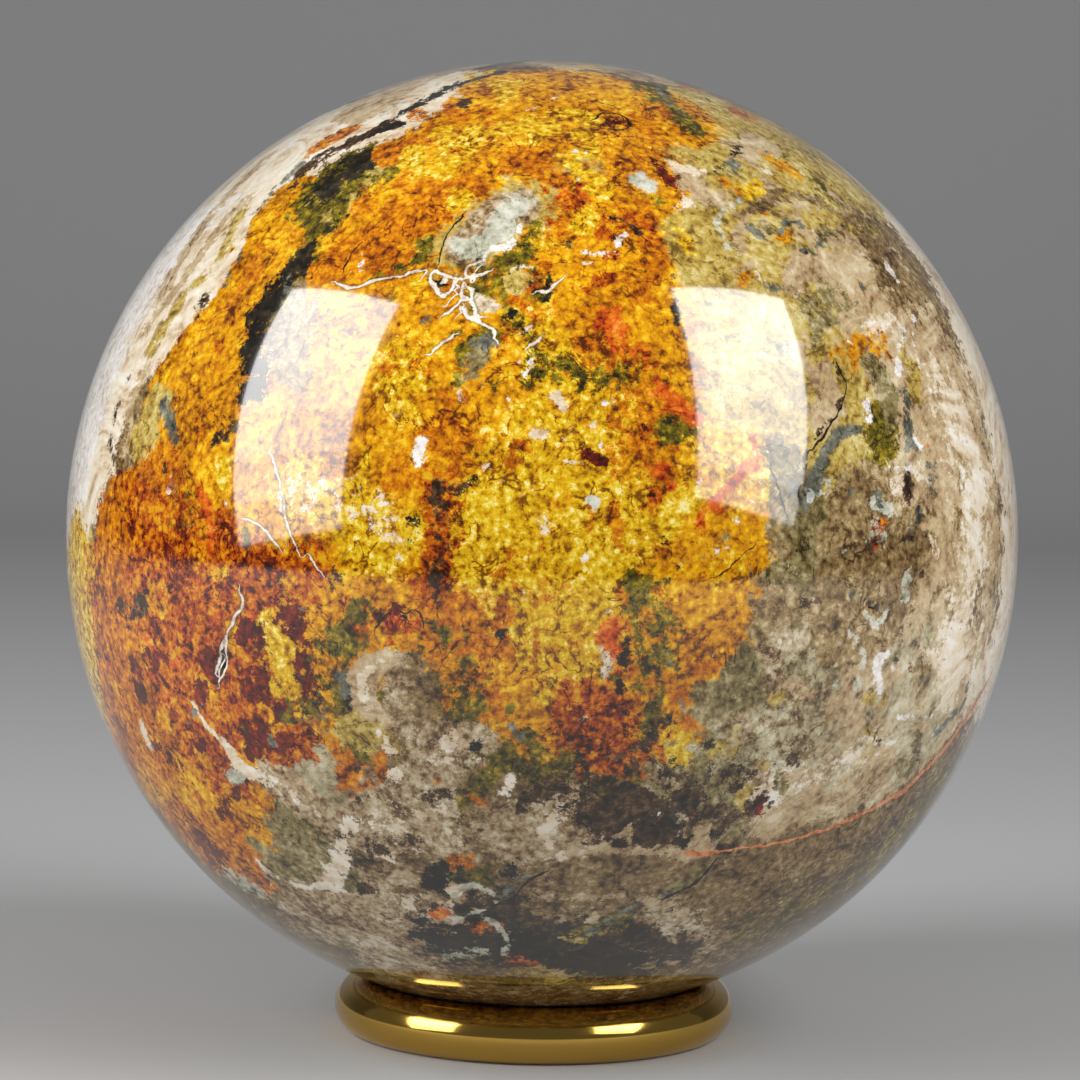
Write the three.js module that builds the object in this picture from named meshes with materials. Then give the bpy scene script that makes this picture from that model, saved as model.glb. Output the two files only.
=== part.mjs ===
// A polished stone ball that rests loose on a plain metal ring.
// Millimetres, +Z up. The origin is on the table, under the middle of the ring,
// and the ball's show face looks along -Y.

import * as THREE from "three";

// Driving dimensions.
const BALL_DIAMETER = 118;
const RING_OUTSIDE_DIAMETER = 50;
const RING_BAR_DIAMETER = 7; // of the round bar that the ring is bent from
const FOOT_DEPTH = 0.3; // ground off the underside of the bar, for a flat foot
const SEAT_CLEARANCE = 0.1; // between the ball and the ring that carries it

// How finely the round faces are divided.
const BALL_MERIDIANS = 64;
const BALL_PARALLELS = 32;
const RING_SEGMENTS = 72;
const BAR_HALF_SIDES = 12;

const ballRadius = BALL_DIAMETER / 2;
const barRadius = RING_BAR_DIAMETER / 2;
const bendRadius = RING_OUTSIDE_DIAMETER / 2 - barRadius; // from the ring's axis to the bar's
const barHeight = barRadius - FOOT_DEPTH; // of the bar's axis over the table

// The ball touches the ring along one circle, on the inner shoulder of the bar,
// so its centre lies over the ring's axis at this distance from the bar's.
const seatReach = ballRadius + SEAT_CLEARANCE + barRadius;
const ballHeight = barHeight + Math.sqrt(seatReach ** 2 - bendRadius ** 2);

const jasper = new THREE.MeshStandardMaterial({
  color: new THREE.Color(0.62, 0.43, 0.14),
  roughness: 0.12,
  metalness: 0,
});

const polishedBrass = new THREE.MeshStandardMaterial({
  color: new THREE.Color(0.83, 0.62, 0.22),
  roughness: 0.14,
  metalness: 1,
});

// A shape that was turned about +Y, such as a lathe's, is set upright along +Z.
function standUp(geometry) {
  return geometry.rotateX(Math.PI / 2);
}

function makeBall() {
  const geometry = new THREE.SphereGeometry(ballRadius, BALL_MERIDIANS, BALL_PARALLELS);
  const ball = new THREE.Mesh(standUp(geometry), jasper);
  ball.name = "jasper_ball";
  ball.position.z = ballHeight;
  return ball;
}

// The bar's cross-section is a circle that the flat foot cuts off below.
function barOutline() {
  const footCorner = Math.asin(barHeight / barRadius);
  const outline = new THREE.Path();
  outline.absarc(bendRadius, barHeight, barRadius, -footCorner, Math.PI + footCorner, false);
  outline.closePath();
  return outline.getPoints(BAR_HALF_SIDES);
}

function makeRingStand() {
  const geometry = new THREE.LatheGeometry(barOutline(), RING_SEGMENTS);
  const ring = new THREE.Mesh(standUp(geometry), polishedBrass);
  ring.name = "ring_stand";
  return ring;
}

const sphereOnStand = new THREE.Group();
sphereOnStand.add(makeRingStand(), makeBall());

export default sphereOnStand;
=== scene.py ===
"""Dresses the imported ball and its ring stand: polished mottled jasper on polished brass."""
import math
import random
from collections import namedtuple

import bmesh
import bpy
import numpy as np
from mathutils import Matrix, Vector, noise


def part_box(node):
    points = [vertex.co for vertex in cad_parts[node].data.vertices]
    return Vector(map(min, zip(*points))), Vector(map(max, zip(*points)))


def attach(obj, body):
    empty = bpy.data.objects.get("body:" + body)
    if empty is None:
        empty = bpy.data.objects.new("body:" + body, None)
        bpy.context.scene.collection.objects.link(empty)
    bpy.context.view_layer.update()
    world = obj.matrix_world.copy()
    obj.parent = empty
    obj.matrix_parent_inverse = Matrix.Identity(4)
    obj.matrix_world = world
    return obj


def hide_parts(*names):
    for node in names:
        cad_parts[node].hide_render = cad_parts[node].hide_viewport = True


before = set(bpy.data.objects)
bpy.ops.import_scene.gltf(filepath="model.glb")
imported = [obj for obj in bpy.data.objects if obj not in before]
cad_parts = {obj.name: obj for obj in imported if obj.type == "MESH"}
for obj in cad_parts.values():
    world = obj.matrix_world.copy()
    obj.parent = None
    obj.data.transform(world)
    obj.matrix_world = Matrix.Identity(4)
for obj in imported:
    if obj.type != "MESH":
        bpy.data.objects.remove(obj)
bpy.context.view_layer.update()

MM = 0.001

# The ball and the ring, as they were packed.
BALL_LOW, BALL_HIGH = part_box("jasper_ball")
BALL_CENTRE = (BALL_LOW + BALL_HIGH) / 2
BALL_RADIUS = (BALL_HIGH.z - BALL_LOW.z) / 2
RING_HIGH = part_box("ring_stand")[1]
RING_RADIUS = RING_HIGH.x
RING_HEIGHT = RING_HIGH.z

# The photograph's frame, and the camera that took it.
PHOTO_WIDTH = 1080
PHOTO_CENTRE = (540, 540)
BALL_CENTRE_IN_PHOTO = (542, 537)
SENSOR_WIDTH = 36.0
LENS = 150.0
CAMERA_DISTANCE = 9.5 * BALL_RADIUS
CAMERA_ELEVATION = 5.0
CAMERA_ROLL = math.radians(1)
FOCAL_PIXELS = LENS / SENSOR_WIDTH * PHOTO_WIDTH


def direction(azimuth, elevation):
    """A unit vector. Azimuth 0 is the front, and 90 is to the right of it; both in degrees."""
    a = math.radians(azimuth)
    e = math.radians(elevation)
    return Vector((math.sin(a) * math.cos(e), -math.cos(a) * math.cos(e), math.sin(e)))


def camera_axes():
    """The camera's right, up and forward, with the ball where the photograph has it."""
    back = direction(0, CAMERA_ELEVATION)
    level_right = Vector((1, 0, 0))
    level_up = back.cross(level_right)
    right = level_right * math.cos(CAMERA_ROLL) + level_up * math.sin(CAMERA_ROLL)
    up = level_up * math.cos(CAMERA_ROLL) - level_right * math.sin(CAMERA_ROLL)
    aside = (BALL_CENTRE_IN_PHOTO[0] - PHOTO_CENTRE[0]) / FOCAL_PIXELS
    above = (PHOTO_CENTRE[1] - BALL_CENTRE_IN_PHOTO[1]) / FOCAL_PIXELS
    forward = (-back - right * aside - up * above).normalized()
    right = (right - forward * right.dot(forward)).normalized()
    return right, right.cross(forward), forward


CAMERA_PLACE = BALL_CENTRE + direction(0, CAMERA_ELEVATION) * CAMERA_DISTANCE
CAMERA_RIGHT, CAMERA_UP, CAMERA_FORWARD = camera_axes()


def place_from_axes(place, x_axis, y_axis, z_axis):
    """The matrix of an object at a place, with its own axes along the three given."""
    turned = Matrix((x_axis, y_axis, z_axis)).transposed().to_4x4()
    return Matrix.Translation(place) @ turned


def make_camera():
    lens = bpy.data.cameras.new("camera")
    lens.sensor_width = SENSOR_WIDTH
    lens.lens = LENS
    lens.clip_start = 0.05
    lens.clip_end = 20
    camera = bpy.data.objects.new("camera", lens)
    camera.matrix_world = place_from_axes(
        CAMERA_PLACE, CAMERA_RIGHT, CAMERA_UP, -CAMERA_FORWARD
    )
    bpy.context.scene.collection.objects.link(camera)
    bpy.context.scene.camera = camera


def seen_at(pixel):
    """The unit vector from the ball's centre to the spot that the photograph shows at this pixel."""
    ray = (
        CAMERA_FORWARD
        + CAMERA_RIGHT * (pixel[0] - PHOTO_CENTRE[0]) / FOCAL_PIXELS
        - CAMERA_UP * (pixel[1] - PHOTO_CENTRE[1]) / FOCAL_PIXELS
    ).normalized()
    to_camera = CAMERA_PLACE - BALL_CENTRE
    nearest = -ray.dot(to_camera)
    spread = nearest ** 2 - to_camera.length_squared + BALL_RADIUS ** 2
    reach = nearest - math.sqrt(max(spread, 0))
    return (to_camera + ray * reach).normalized()


# Studio.

FLOOR_GREY = 0.44
WORLD_GREY = 0.12
COVE_FRONT = -1.6
COVE_BACK = 1.1
COVE_BEND = 0.4
COVE_TOP = 1.8
COVE_HALF_WIDTH = 2.5
COVE_BEND_STEPS = 16

SoftLight = namedtuple("SoftLight", "name azimuth elevation tilt width height")
LIGHT_DISTANCE = 0.7
RADIANCES = (9, 9, 8.5, 7.5, 6, 4)  # of a soft box's strips, from the top down
SOFT_LIGHTS = [
    SoftLight("soft_light_left", -65, 26, 14, 0.37, 0.65),
    SoftLight("soft_light_right", 56, 32, -22, 0.33, 0.62),
]


def make_area_light(name, place, across, upward, outward, width, height, radiance):
    lamp = bpy.data.lights.new(name, "AREA")
    lamp.shape = "RECTANGLE"
    lamp.size = width
    lamp.size_y = height
    lamp.energy = radiance * math.pi * width * height
    light = bpy.data.objects.new(name, lamp)
    light.matrix_world = place_from_axes(place, across, upward, outward)
    light.visible_camera = False
    bpy.context.scene.collection.objects.link(light)


def make_soft_light(spec):
    """A soft box that faces the ball, brighter in its upper part."""
    outward = direction(spec.azimuth, spec.elevation)
    level = Vector((0, 0, 1)).cross(outward).normalized()
    steep = outward.cross(level)
    tilt = math.radians(spec.tilt)
    across = level * math.cos(tilt) + steep * math.sin(tilt)
    upward = steep * math.cos(tilt) - level * math.sin(tilt)
    middle = BALL_CENTRE + outward * LIGHT_DISTANCE
    strip = spec.height / len(RADIANCES)
    for number, radiance in enumerate(RADIANCES):
        shift = (spec.height - strip) / 2 - strip * number
        make_area_light(
            f"{spec.name}_{number}", middle + upward * shift,
            across, upward, outward, spec.width, strip, radiance,
        )


def make_cove():
    """A pale floor that bends up into a backdrop."""
    profile = [Vector((0, COVE_FRONT, 0))]
    for step in range(COVE_BEND_STEPS + 1):
        turn = step / COVE_BEND_STEPS * math.pi / 2
        along = COVE_BACK - COVE_BEND + COVE_BEND * math.sin(turn)
        profile.append(Vector((0, along, COVE_BEND - COVE_BEND * math.cos(turn))))
    profile.append(Vector((0, COVE_BACK, COVE_TOP)))
    sweep = bmesh.new()
    left = [sweep.verts.new(point - Vector((COVE_HALF_WIDTH, 0, 0))) for point in profile]
    edges = [sweep.edges.new(pair) for pair in zip(left, left[1:])]
    grown = bmesh.ops.extrude_edge_only(sweep, edges=edges)["geom"]
    right = [item for item in grown if isinstance(item, bmesh.types.BMVert)]
    bmesh.ops.translate(sweep, verts=right, vec=(2 * COVE_HALF_WIDTH, 0, 0))
    bmesh.ops.recalc_face_normals(sweep, faces=sweep.faces)
    return finish_mesh(sweep, "floor", floor_material())


def make_studio():
    world = bpy.data.worlds.new("studio")
    world.use_nodes = True
    world.node_tree.nodes["Background"].inputs["Color"].default_value = (
        WORLD_GREY, WORLD_GREY, WORLD_GREY, 1
    )
    bpy.context.scene.world = world
    for spec in SOFT_LIGHTS:
        make_soft_light(spec)
    make_cove()


def finish_mesh(shape, name, material):
    mesh = bpy.data.meshes.new(name)
    shape.to_mesh(mesh)
    shape.free()
    mesh.shade_smooth()
    mesh.materials.append(material)
    made = bpy.data.objects.new(name, mesh)
    bpy.context.scene.collection.objects.link(made)
    return made


# Material nodes.

def srgb(red, green, blue):
    """A linear colour from one written 0 to 255 as it shows on a screen."""
    linear = [
        c / 12.92 if c <= 0.04045 else ((c + 0.055) / 1.055) ** 2.4
        for c in (red / 255, green / 255, blue / 255)
    ]
    return (*linear, 1.0)


def new_material(name):
    material = bpy.data.materials.new(name)
    material.use_nodes = True
    return material, material.node_tree, material.node_tree.nodes["Principled BSDF"]


def feed(tree, socket, value):
    if isinstance(value, bpy.types.NodeSocket):
        tree.links.new(value, socket)
    else:
        socket.default_value = value


def add(tree, kind, inputs=None, **settings):
    """A node with its settings, and its inputs joined to other nodes or set to values."""
    made = tree.nodes.new(kind)
    for name, value in settings.items():
        setattr(made, name, value)
    for socket, value in (inputs or {}).items():
        feed(tree, made.inputs[socket], value)
    return made


def calculate(tree, operation, first, second=0.0):
    return add(tree, "ShaderNodeMath", {0: first, 1: second}, operation=operation).outputs[0]


def vector_math(tree, operation, first, second):
    made = add(tree, "ShaderNodeVectorMath", {0: first, 1: second}, operation=operation)
    return made.outputs["Value" if operation == "DOT_PRODUCT" else "Vector"]


def remap(tree, value, low, high, to_low=0.0, to_high=1.0):
    inputs = {"Value": value, "From Min": low, "From Max": high}
    inputs.update({"To Min": to_low, "To Max": to_high})
    return add(tree, "ShaderNodeMapRange", inputs).outputs["Result"]


def mix_colour(tree, factor, below, above):
    made = add(tree, "ShaderNodeMix", data_type="RGBA")
    for socket, value in ((0, factor), (6, below), (7, above)):
        feed(tree, made.inputs[socket], value)
    return made.outputs[2]


def colour_ramp(tree, factor, stops):
    made = add(tree, "ShaderNodeValToRGB", {"Fac": factor})
    elements = made.color_ramp.elements
    elements[0].position, elements[0].color = stops[0]
    elements[1].position, elements[1].color = stops[-1]
    for position, colour in stops[1:-1]:
        elements.new(position).color = colour
    return made.outputs["Color"]


def fractal(tree, vector, size, detail=6.0, roughness=0.6, distortion=0.0):
    """Fractal noise with features about as wide as size, in the vector's own unit."""
    inputs = {"Vector": vector, "Scale": 1 / size, "Detail": detail}
    inputs.update({"Roughness": roughness, "Distortion": distortion})
    return add(tree, "ShaderNodeTexNoise", inputs, noise_dimensions="3D").outputs


def floor_material():
    material, _, shader = new_material("pale_floor")
    shader.inputs["Base Color"].default_value = (FLOOR_GREY, FLOOR_GREY, FLOOR_GREY, 1)
    shader.inputs["Roughness"].default_value = 0.85
    shader.inputs["Specular IOR Level"].default_value = 0.2
    return material


# The minerals, in the order in which one may lie over another. The first three numbers say
# how much of each one's tone follows the fine grain, the mottling and the layers of the rock.
# The tones go from its crevices to its palest flecks.

Mineral = namedtuple("Mineral", "grain mottle layers tones")
MINERALS = {
    "taupe": Mineral(0.50, 0.40, 0.10, [
        (58, 40, 22), (96, 72, 42), (126, 100, 62), (152, 126, 84), (186, 162, 122)]),
    "tan": Mineral(0.28, 0.40, 0.32, [
        (116, 88, 56), (164, 136, 98), (190, 164, 124), (206, 184, 146), (224, 208, 176)]),
    "sand": Mineral(0.60, 0.33, 0.07, [
        (82, 60, 30), (122, 96, 56), (152, 126, 82), (178, 152, 108), (208, 188, 150)]),
    "greygreen": Mineral(0.50, 0.43, 0.07, [
        (60, 48, 22), (96, 82, 44), (128, 112, 68), (154, 138, 94), (190, 176, 136)]),
    "khaki": Mineral(0.45, 0.45, 0.10, [
        (104, 80, 30), (156, 126, 52), (186, 158, 76), (204, 182, 104), (224, 208, 156)]),
    "cream": Mineral(0.20, 0.30, 0.50, [
        (186, 156, 120), (216, 194, 162), (230, 214, 188), (238, 226, 206), (244, 238, 226)]),
    "chalk": Mineral(0.45, 0.50, 0.05, [
        (78, 54, 30), (130, 100, 66), (172, 148, 110), (200, 182, 150), (226, 214, 190)]),
    "celadon": Mineral(0.30, 0.55, 0.15, [
        (84, 68, 42), (142, 126, 92), (178, 164, 128), (200, 188, 156), (220, 212, 186)]),
    "pale": Mineral(0.35, 0.45, 0.20, [
        (120, 118, 94), (168, 166, 142), (196, 194, 174), (214, 212, 196), (230, 228, 216)]),
    "gold": Mineral(0.48, 0.40, 0.12, [
        (88, 46, 3), (146, 82, 3), (190, 120, 3), (216, 148, 3), (232, 172, 8), (246, 204, 48)]),
    "yellow": Mineral(0.66, 0.26, 0.08, [
        (116, 70, 3), (172, 118, 3), (204, 154, 4), (222, 178, 14), (236, 204, 52),
        (248, 232, 156)]),
    "orange": Mineral(0.55, 0.30, 0.15, [
        (80, 32, 3), (144, 70, 3), (186, 102, 3), (214, 134, 3), (234, 168, 10)]),
    "rust": Mineral(0.55, 0.37, 0.08, [
        (44, 12, 3), (100, 32, 3), (152, 60, 3), (188, 92, 3), (210, 130, 5), (214, 164, 24)]),
    "ember": Mineral(0.50, 0.40, 0.10, [
        (96, 22, 5), (164, 56, 8), (204, 86, 12), (224, 118, 26), (238, 156, 66)]),
    "maroon": Mineral(0.55, 0.40, 0.05, [
        (32, 10, 8), (72, 18, 10), (108, 26, 10), (152, 54, 12)]),
    "olive": Mineral(0.50, 0.38, 0.12, [
        (28, 26, 10), (62, 54, 12), (98, 84, 14), (138, 118, 22), (182, 158, 36)]),
    "umber": Mineral(0.60, 0.35, 0.05, [
        (20, 12, 7), (46, 30, 16), (74, 51, 30), (112, 84, 54)]),
    "black": Mineral(0.45, 0.35, 0.20, [
        (10, 8, 6), (24, 18, 11), (42, 35, 22), (72, 62, 40)]),
    "slate": Mineral(0.40, 0.40, 0.20, [
        (44, 44, 34), (86, 86, 72), (120, 120, 104), (164, 162, 144)]),
    "white": Mineral(0.50, 0.40, 0.10, [
        (196, 180, 166), (234, 226, 218), (250, 248, 244)]),
}

# The stone's map, laid over from the first stroke to the last. Places are pixels of the
# photograph; widths and soft edges are millimetres on the ball.

Stroke = namedtuple("Stroke", "mineral points width fade strength")
strokes = []
SPREAD = 1.9  # how much wider the grains break up an edge than its own fade
SMALL_WIDTH = 5.0
SMALL_STRENGTH = 0.82  # small strokes keep some grains of what lies below them
PALE_MINERALS = ("white", "cream", "pale")
CRUMB_WIDTH = 1.8  # a pale stroke narrower than this is a crumb
CRUMB_SHARE = 0.78  # of its width, which is what shows as a crumb's solid heart


def lay(mineral, name, width, fade, *pixels, strength=1.0):
    """A stroke along pixels of the photograph. The name only tells the reader what it shows."""
    places = [seen_at(pixel) for pixel in pixels]
    if width < SMALL_WIDTH:
        strength *= SMALL_STRENGTH
    if width < CRUMB_WIDTH and mineral in PALE_MINERALS:
        width *= CRUMB_SHARE
    strokes.append(Stroke(mineral, places, width, fade * SPREAD, strength))


def lay_broad_zones():
    lay("khaki", "upper right", 24, 5, (720, 120), (780, 220), (770, 320), (820, 390))
    lay("tan", "right flank", 26, 6, (940, 420), (960, 540), (930, 680), (880, 770))
    lay("tan", "upper right's light", 18, 8, (800, 230), (840, 290), (860, 350), strength=0.35)
    lay("celadon", "lower right", 24, 5, (800, 690), (850, 720), (900, 720))
    lay("tan", "lower right's light", 14, 8, (860, 700), (900, 720), (930, 680), strength=0.4)
    lay("cream", "right shoulder", 20, 5, (900, 205), (945, 270), (985, 370))
    lay("cream", "upper limb", 14, 3, (868, 192), (912, 238), (952, 296), (985, 365))
    lay("sand", "right middle", 11, 4, (850, 480), (850, 560), (860, 620))
    lay("greygreen", "right of the gold", 13, 5, (800, 500), (780, 580), (760, 640), (730, 690))
    lay("greygreen", "below the gold", 9, 3, (600, 780), (680, 780), (740, 770))
    lay("celadon", "light zone", 13, 6, (775, 655), (765, 715), (745, 765), strength=0.5)
    lay("sand", "grains by the gold", 7, 3, (735, 610), (722, 660), (735, 700), strength=0.8)
    lay("umber", "lower middle", 8, 3, (590, 820), (650, 835))
    # Darker at the bottom: this umber is partly the stone's dark brown and partly painted shade on the
    # underside.
    lay("umber", "bottom", 16, 5, (430, 900), (540, 940), (640, 950))
    lay("chalk", "bottom left", 17, 4, (290, 880), (360, 850), (400, 900), (380, 950))
    lay("chalk", "left of the dark line", 8, 3, (405, 720), (420, 760), (420, 830))
    lay("gold", "crown", 16, 3, (590, 125), (500, 145), (430, 190), (370, 250))
    lay("gold", "top", 15, 2.5, (660, 112), (600, 90), (520, 88), (450, 108), (400, 140))
    lay("gold", "upper middle", 26, 3, (585, 190), (560, 280), (585, 350))
    lay("gold", "left of the middle", 22, 3, (400, 330), (390, 440), (420, 560))
    lay("gold", "middle", 28, 3, (560, 440), (540, 560), (560, 640))
    lay("gold", "lower middle", 14, 3, (500, 690), (600, 690), (660, 690))
    lay("gold", "right tongue", 15, 3, (670, 450), (700, 540), (690, 640))
    lay("gold", "tongue's tip", 5, 2, (700, 525), (755, 535))
    lay("gold", "left flank", 12, 3, (285, 215), (240, 300), (215, 390), (210, 480))
    lay("gold", "left flank's outer part", 10, 3, (205, 320), (175, 390), (165, 470))
    lay("olive", "flank's mottle", 3, 2.5, (172, 350), (160, 400), (156, 440), strength=0.6)
    lay("gold", "under the left light", 14, 3, (250, 440), (260, 510), (320, 560))
    lay("orange", "left edge", 8, 3, (160, 480), (150, 530))
    lay("orange", "lower left", 22, 4, (140, 560), (190, 650), (240, 740))
    lay("orange", "left limb", 24, 3, (92, 640), (120, 710), (165, 780), (205, 825))
    lay("gold", "lower left of the middle", 14, 4, (320, 590), (400, 600), (450, 670))
    lay("orange", "lower left's orange", 7, 4, (310, 600), (390, 600), (440, 640), strength=0.6)
    lay("rust", "lower left", 20, 7, (150, 600), (200, 700), (250, 780), strength=0.85)


def lay_left_rim():
    lay("cream", "rim", 50, 3, (67, 380), (82, 380), (110, 330), (165, 250), (235, 175), (285, 138))
    # The cream rim is the stone's own; the white along its outer part is partly pale stone and partly
    # painted light where the left lamp falls on the rim.
    lay("white", "outer rim", 34, 4, (66, 430), (80, 380), (105, 330), (160, 245), (225, 175))
    lay("cream", "upper rim", 26, 2, (285, 138), (335, 112))
    lay("tan", "inner band", 3, 1.5, (128, 460), (132, 410), (148, 360), (175, 310), strength=0.65)
    lay("umber", "inner line", 1.6, 1, (122, 478), (110, 440), (118, 402), (135, 372), strength=0.65)
    lay("tan", "upper streak", 3, 2, (163, 288), (185, 250), (212, 212), (245, 178), (268, 155))
    lay("umber", "brown streak", 1.6, 1.5, (166, 284), (186, 250), (212, 212), (236, 188), strength=0.6)
    lay("tan", "second streak", 2.5, 2, (140, 335), (168, 298), (200, 255), (220, 226), (248, 198))
    lay("umber", "brown spot", 2.0, 1.5, (198, 320), (207, 296), strength=0.9)
    lay("khaki", "green border", 2.4, 1.5, (152, 350), (168, 322), (190, 290), (215, 262), (240, 215))
    lay("yellow", "yellow spot", 1.2, 0.8, (228, 252))
    lay("slate", "grey streak", 2.0, 1.2, (228, 285), (245, 250), (258, 215), (275, 190), (300, 165))
    lay("black", "dark edge of the streak", 1.0, 0.8, (232, 285), (246, 255), (254, 240), strength=0.8)
    lay("pale", "blue spot", 1.2, 0.8, (287, 187))
    lay("khaki", "olive border", 2.0, 1.5, (246, 262), (262, 232), (272, 205), strength=0.8)


def lay_seam():
    lay("gold", "band", 6, 1.5, (205, 345), (240, 290), (262, 240), (280, 205), (300, 190))
    lay("orange", "band", 3, 2, (195, 340), (235, 290), (258, 245), strength=0.7)
    lay("olive", "beside the seam", 4, 2, (262, 330), (290, 285), (320, 235), (345, 200))
    lay("black", "seam", 4.2, 1.6, (248, 395), (254, 340), (268, 305), (287, 284), (302, 266))
    lay("black", "upper seam", 1.3, 0.8, (298, 272), (312, 252), (332, 230), (352, 212), (372, 196))
    lay("black", "thin seam", 0.9, 0.7, (372, 198), (390, 180), (402, 158), (416, 147), (436, 130))
    lay("black", "thin seam's top", 0.9, 0.8, (436, 130), (452, 120), (462, 104))
    lay("umber", "dark knot", 2.4, 1.6, (456, 104), (466, 100))
    lay("umber", "over the patch", 2.8, 2.2, (298, 182), (322, 160), (350, 145), strength=0.8)
    lay("olive", "dark patch", 9, 3.0, (318, 205), (345, 176), (372, 164))
    lay("black", "dark patch core", 5.5, 3.0, (322, 196), (350, 172), (372, 160), strength=0.9)
    lay("khaki", "green flecks", 1.6, 1.2, (325, 226), (345, 205), (362, 208), strength=0.7)
    lay("khaki", "green flecks above", 1.6, 1.2, (372, 182), (385, 166), strength=0.7)
    lay("orange", "rim patch", 3.4, 1.2, (312, 150), (335, 137), (362, 122))
    lay("umber", "under the rim patch", 1.6, 1.0, (300, 172), (330, 150), (362, 138), (395, 128))
    lay("white", "fleck at the seam", 0.9, 0.6, (312, 268), (308, 278))
    lay("slate", "grey beside the seam", 2.4, 1.4, (288, 278), (292, 292), strength=0.6)


def lay_top_rim():
    lay("umber", "left cap", 3.5, 1.8, (345, 104), (372, 97), strength=0.9)
    lay("tan", "rim", 11, 1.5, (372, 106), (420, 80), (470, 64))
    lay("cream", "rim streak", 2.4, 1.2, (372, 120), (398, 104), (430, 84), (462, 72))
    lay("pale", "rim spot", 2.4, 1.2, (384, 112), (396, 104))
    lay("umber", "under the rim", 2.0, 1.2, (372, 130), (402, 112), (432, 96), (470, 79), strength=0.8)
    lay("black", "blob", 2.2, 0.8, (383, 130), (396, 124))
    lay("black", "line", 2.2, 1.0, (400, 112), (430, 97), (460, 83), (500, 72))
    lay("black", "cap", 3.4, 1.6, (480, 68), (515, 62), (556, 62))
    lay("tan", "rim right", 9, 2, (560, 64), (600, 66), (640, 74))
    lay("olive", "right of the crown", 5, 2, (650, 86), (668, 104), (684, 122), strength=0.8)
    lay("slate", "vein at the crown", 1.4, 0.8, (645, 78), (662, 90), (670, 102), (690, 116))
    lay("orange", "rim spot", 2.6, 1.0, (682, 86), (698, 90))


def lay_crown():
    lay("yellow", "bright streak", 5.0, 3.0, (440, 150), (490, 132), (530, 128),
        (560, 118), strength=0.7)
    lay("yellow", "bright patch", 4.0, 3.0, (440, 180), (470, 148), (490, 136), strength=0.5)
    lay("orange", "shade over the lens", 6.0, 4.0, (385, 262), (410, 235), (440, 205), strength=0.7)
    lay("orange", "left shade", 3.0, 2.0, (365, 262), (392, 238), strength=0.7)
    lay("orange", "right shade", 7.0, 4.0, (610, 170), (650, 150), (640, 110), strength=0.55)
    lay("khaki", "green tinge", 3.0, 2.0, (556, 172), (592, 160), (596, 172), strength=0.7)
    lay("cream", "pink streak", 1.2, 1.2, (524, 108), (540, 106), (556, 94), (572, 84), strength=0.6)
    lay("white", "pink streak's end", 1.0, 0.8, (526, 108), (534, 109), strength=0.7)
    lay("maroon", "oval", 2.6, 0.8, (604, 121), (624, 122))
    lay("ember", "oval's heart", 1.2, 0.6, (606, 121), (614, 121))
    lay("white", "spot", 2.0, 0.8, (568, 156), (577, 160))
    lay("cream", "spot's edge", 1.4, 0.7, (582, 150), (588, 152))
    lay("white", "tail", 1.0, 0.6, (578, 164), (583, 172), (578, 178))
    lay("white", "curl", 1.1, 0.6, (568, 181), (557, 183), (553, 192))
    lay("ember", "red patch", 3.2, 1.2, (564, 196), (582, 190), strength=0.9)
    lay("ember", "red spot", 1.6, 0.7, (537, 200))
    lay("black", "dot", 1.0, 0.5, (548, 211))
    lay("black", "second dot", 0.9, 0.5, (538, 236), (540, 231))
    lay("maroon", "spots", 1.0, 0.6, (612, 168), (620, 160), strength=0.8)
    lay("maroon", "short line", 0.9, 0.5, (608, 193), (614, 200), strength=0.8)
    lay("pale", "patch with a dot", 2.4, 1.0, (638, 180), (652, 188))
    lay("black", "the patch's dot", 1.0, 0.5, (657, 191))
    lay("olive", "below the patch", 3.0, 1.6, (650, 200), (664, 206), strength=0.7)
    lay("maroon", "red-brown edge", 2.0, 1.2, (648, 160), (662, 172), (668, 180), strength=0.8)
    lay("black", "streak at the border", 1.8, 1.0, (664, 222), (684, 219), (698, 214))
    lay("orange", "right of the arcs", 5.0, 3.0, (640, 215), (655, 250), (640, 290), strength=0.7)
    lay("rust", "arcs", 5.0, 2.5, (570, 226), (610, 216), (645, 232), strength=0.6)
    lay("umber", "long arc", 1.0, 0.6, (527, 258), (536, 242), (550, 226), (562, 219), (578, 216))
    lay("umber", "second arc", 0.9, 0.6, (592, 216), (612, 213), (632, 221), (646, 236), strength=0.8)
    lay("umber", "inner arc", 0.8, 0.5, (546, 243), (558, 239), (574, 238), strength=0.9)
    lay("cream", "arc streak", 1.0, 0.6, (580, 247), (598, 250), (616, 252))
    lay("cream", "arc streak below", 0.8, 0.5, (582, 262), (594, 260))
    lay("white", "pink spot", 1.1, 0.6, (620, 242), (620, 236), (630, 232))
    lay("cream", "spot at the seam", 1.4, 0.7, (358, 255), (358, 268))
    lay("white", "small spot", 0.9, 0.5, (384, 243))


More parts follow.
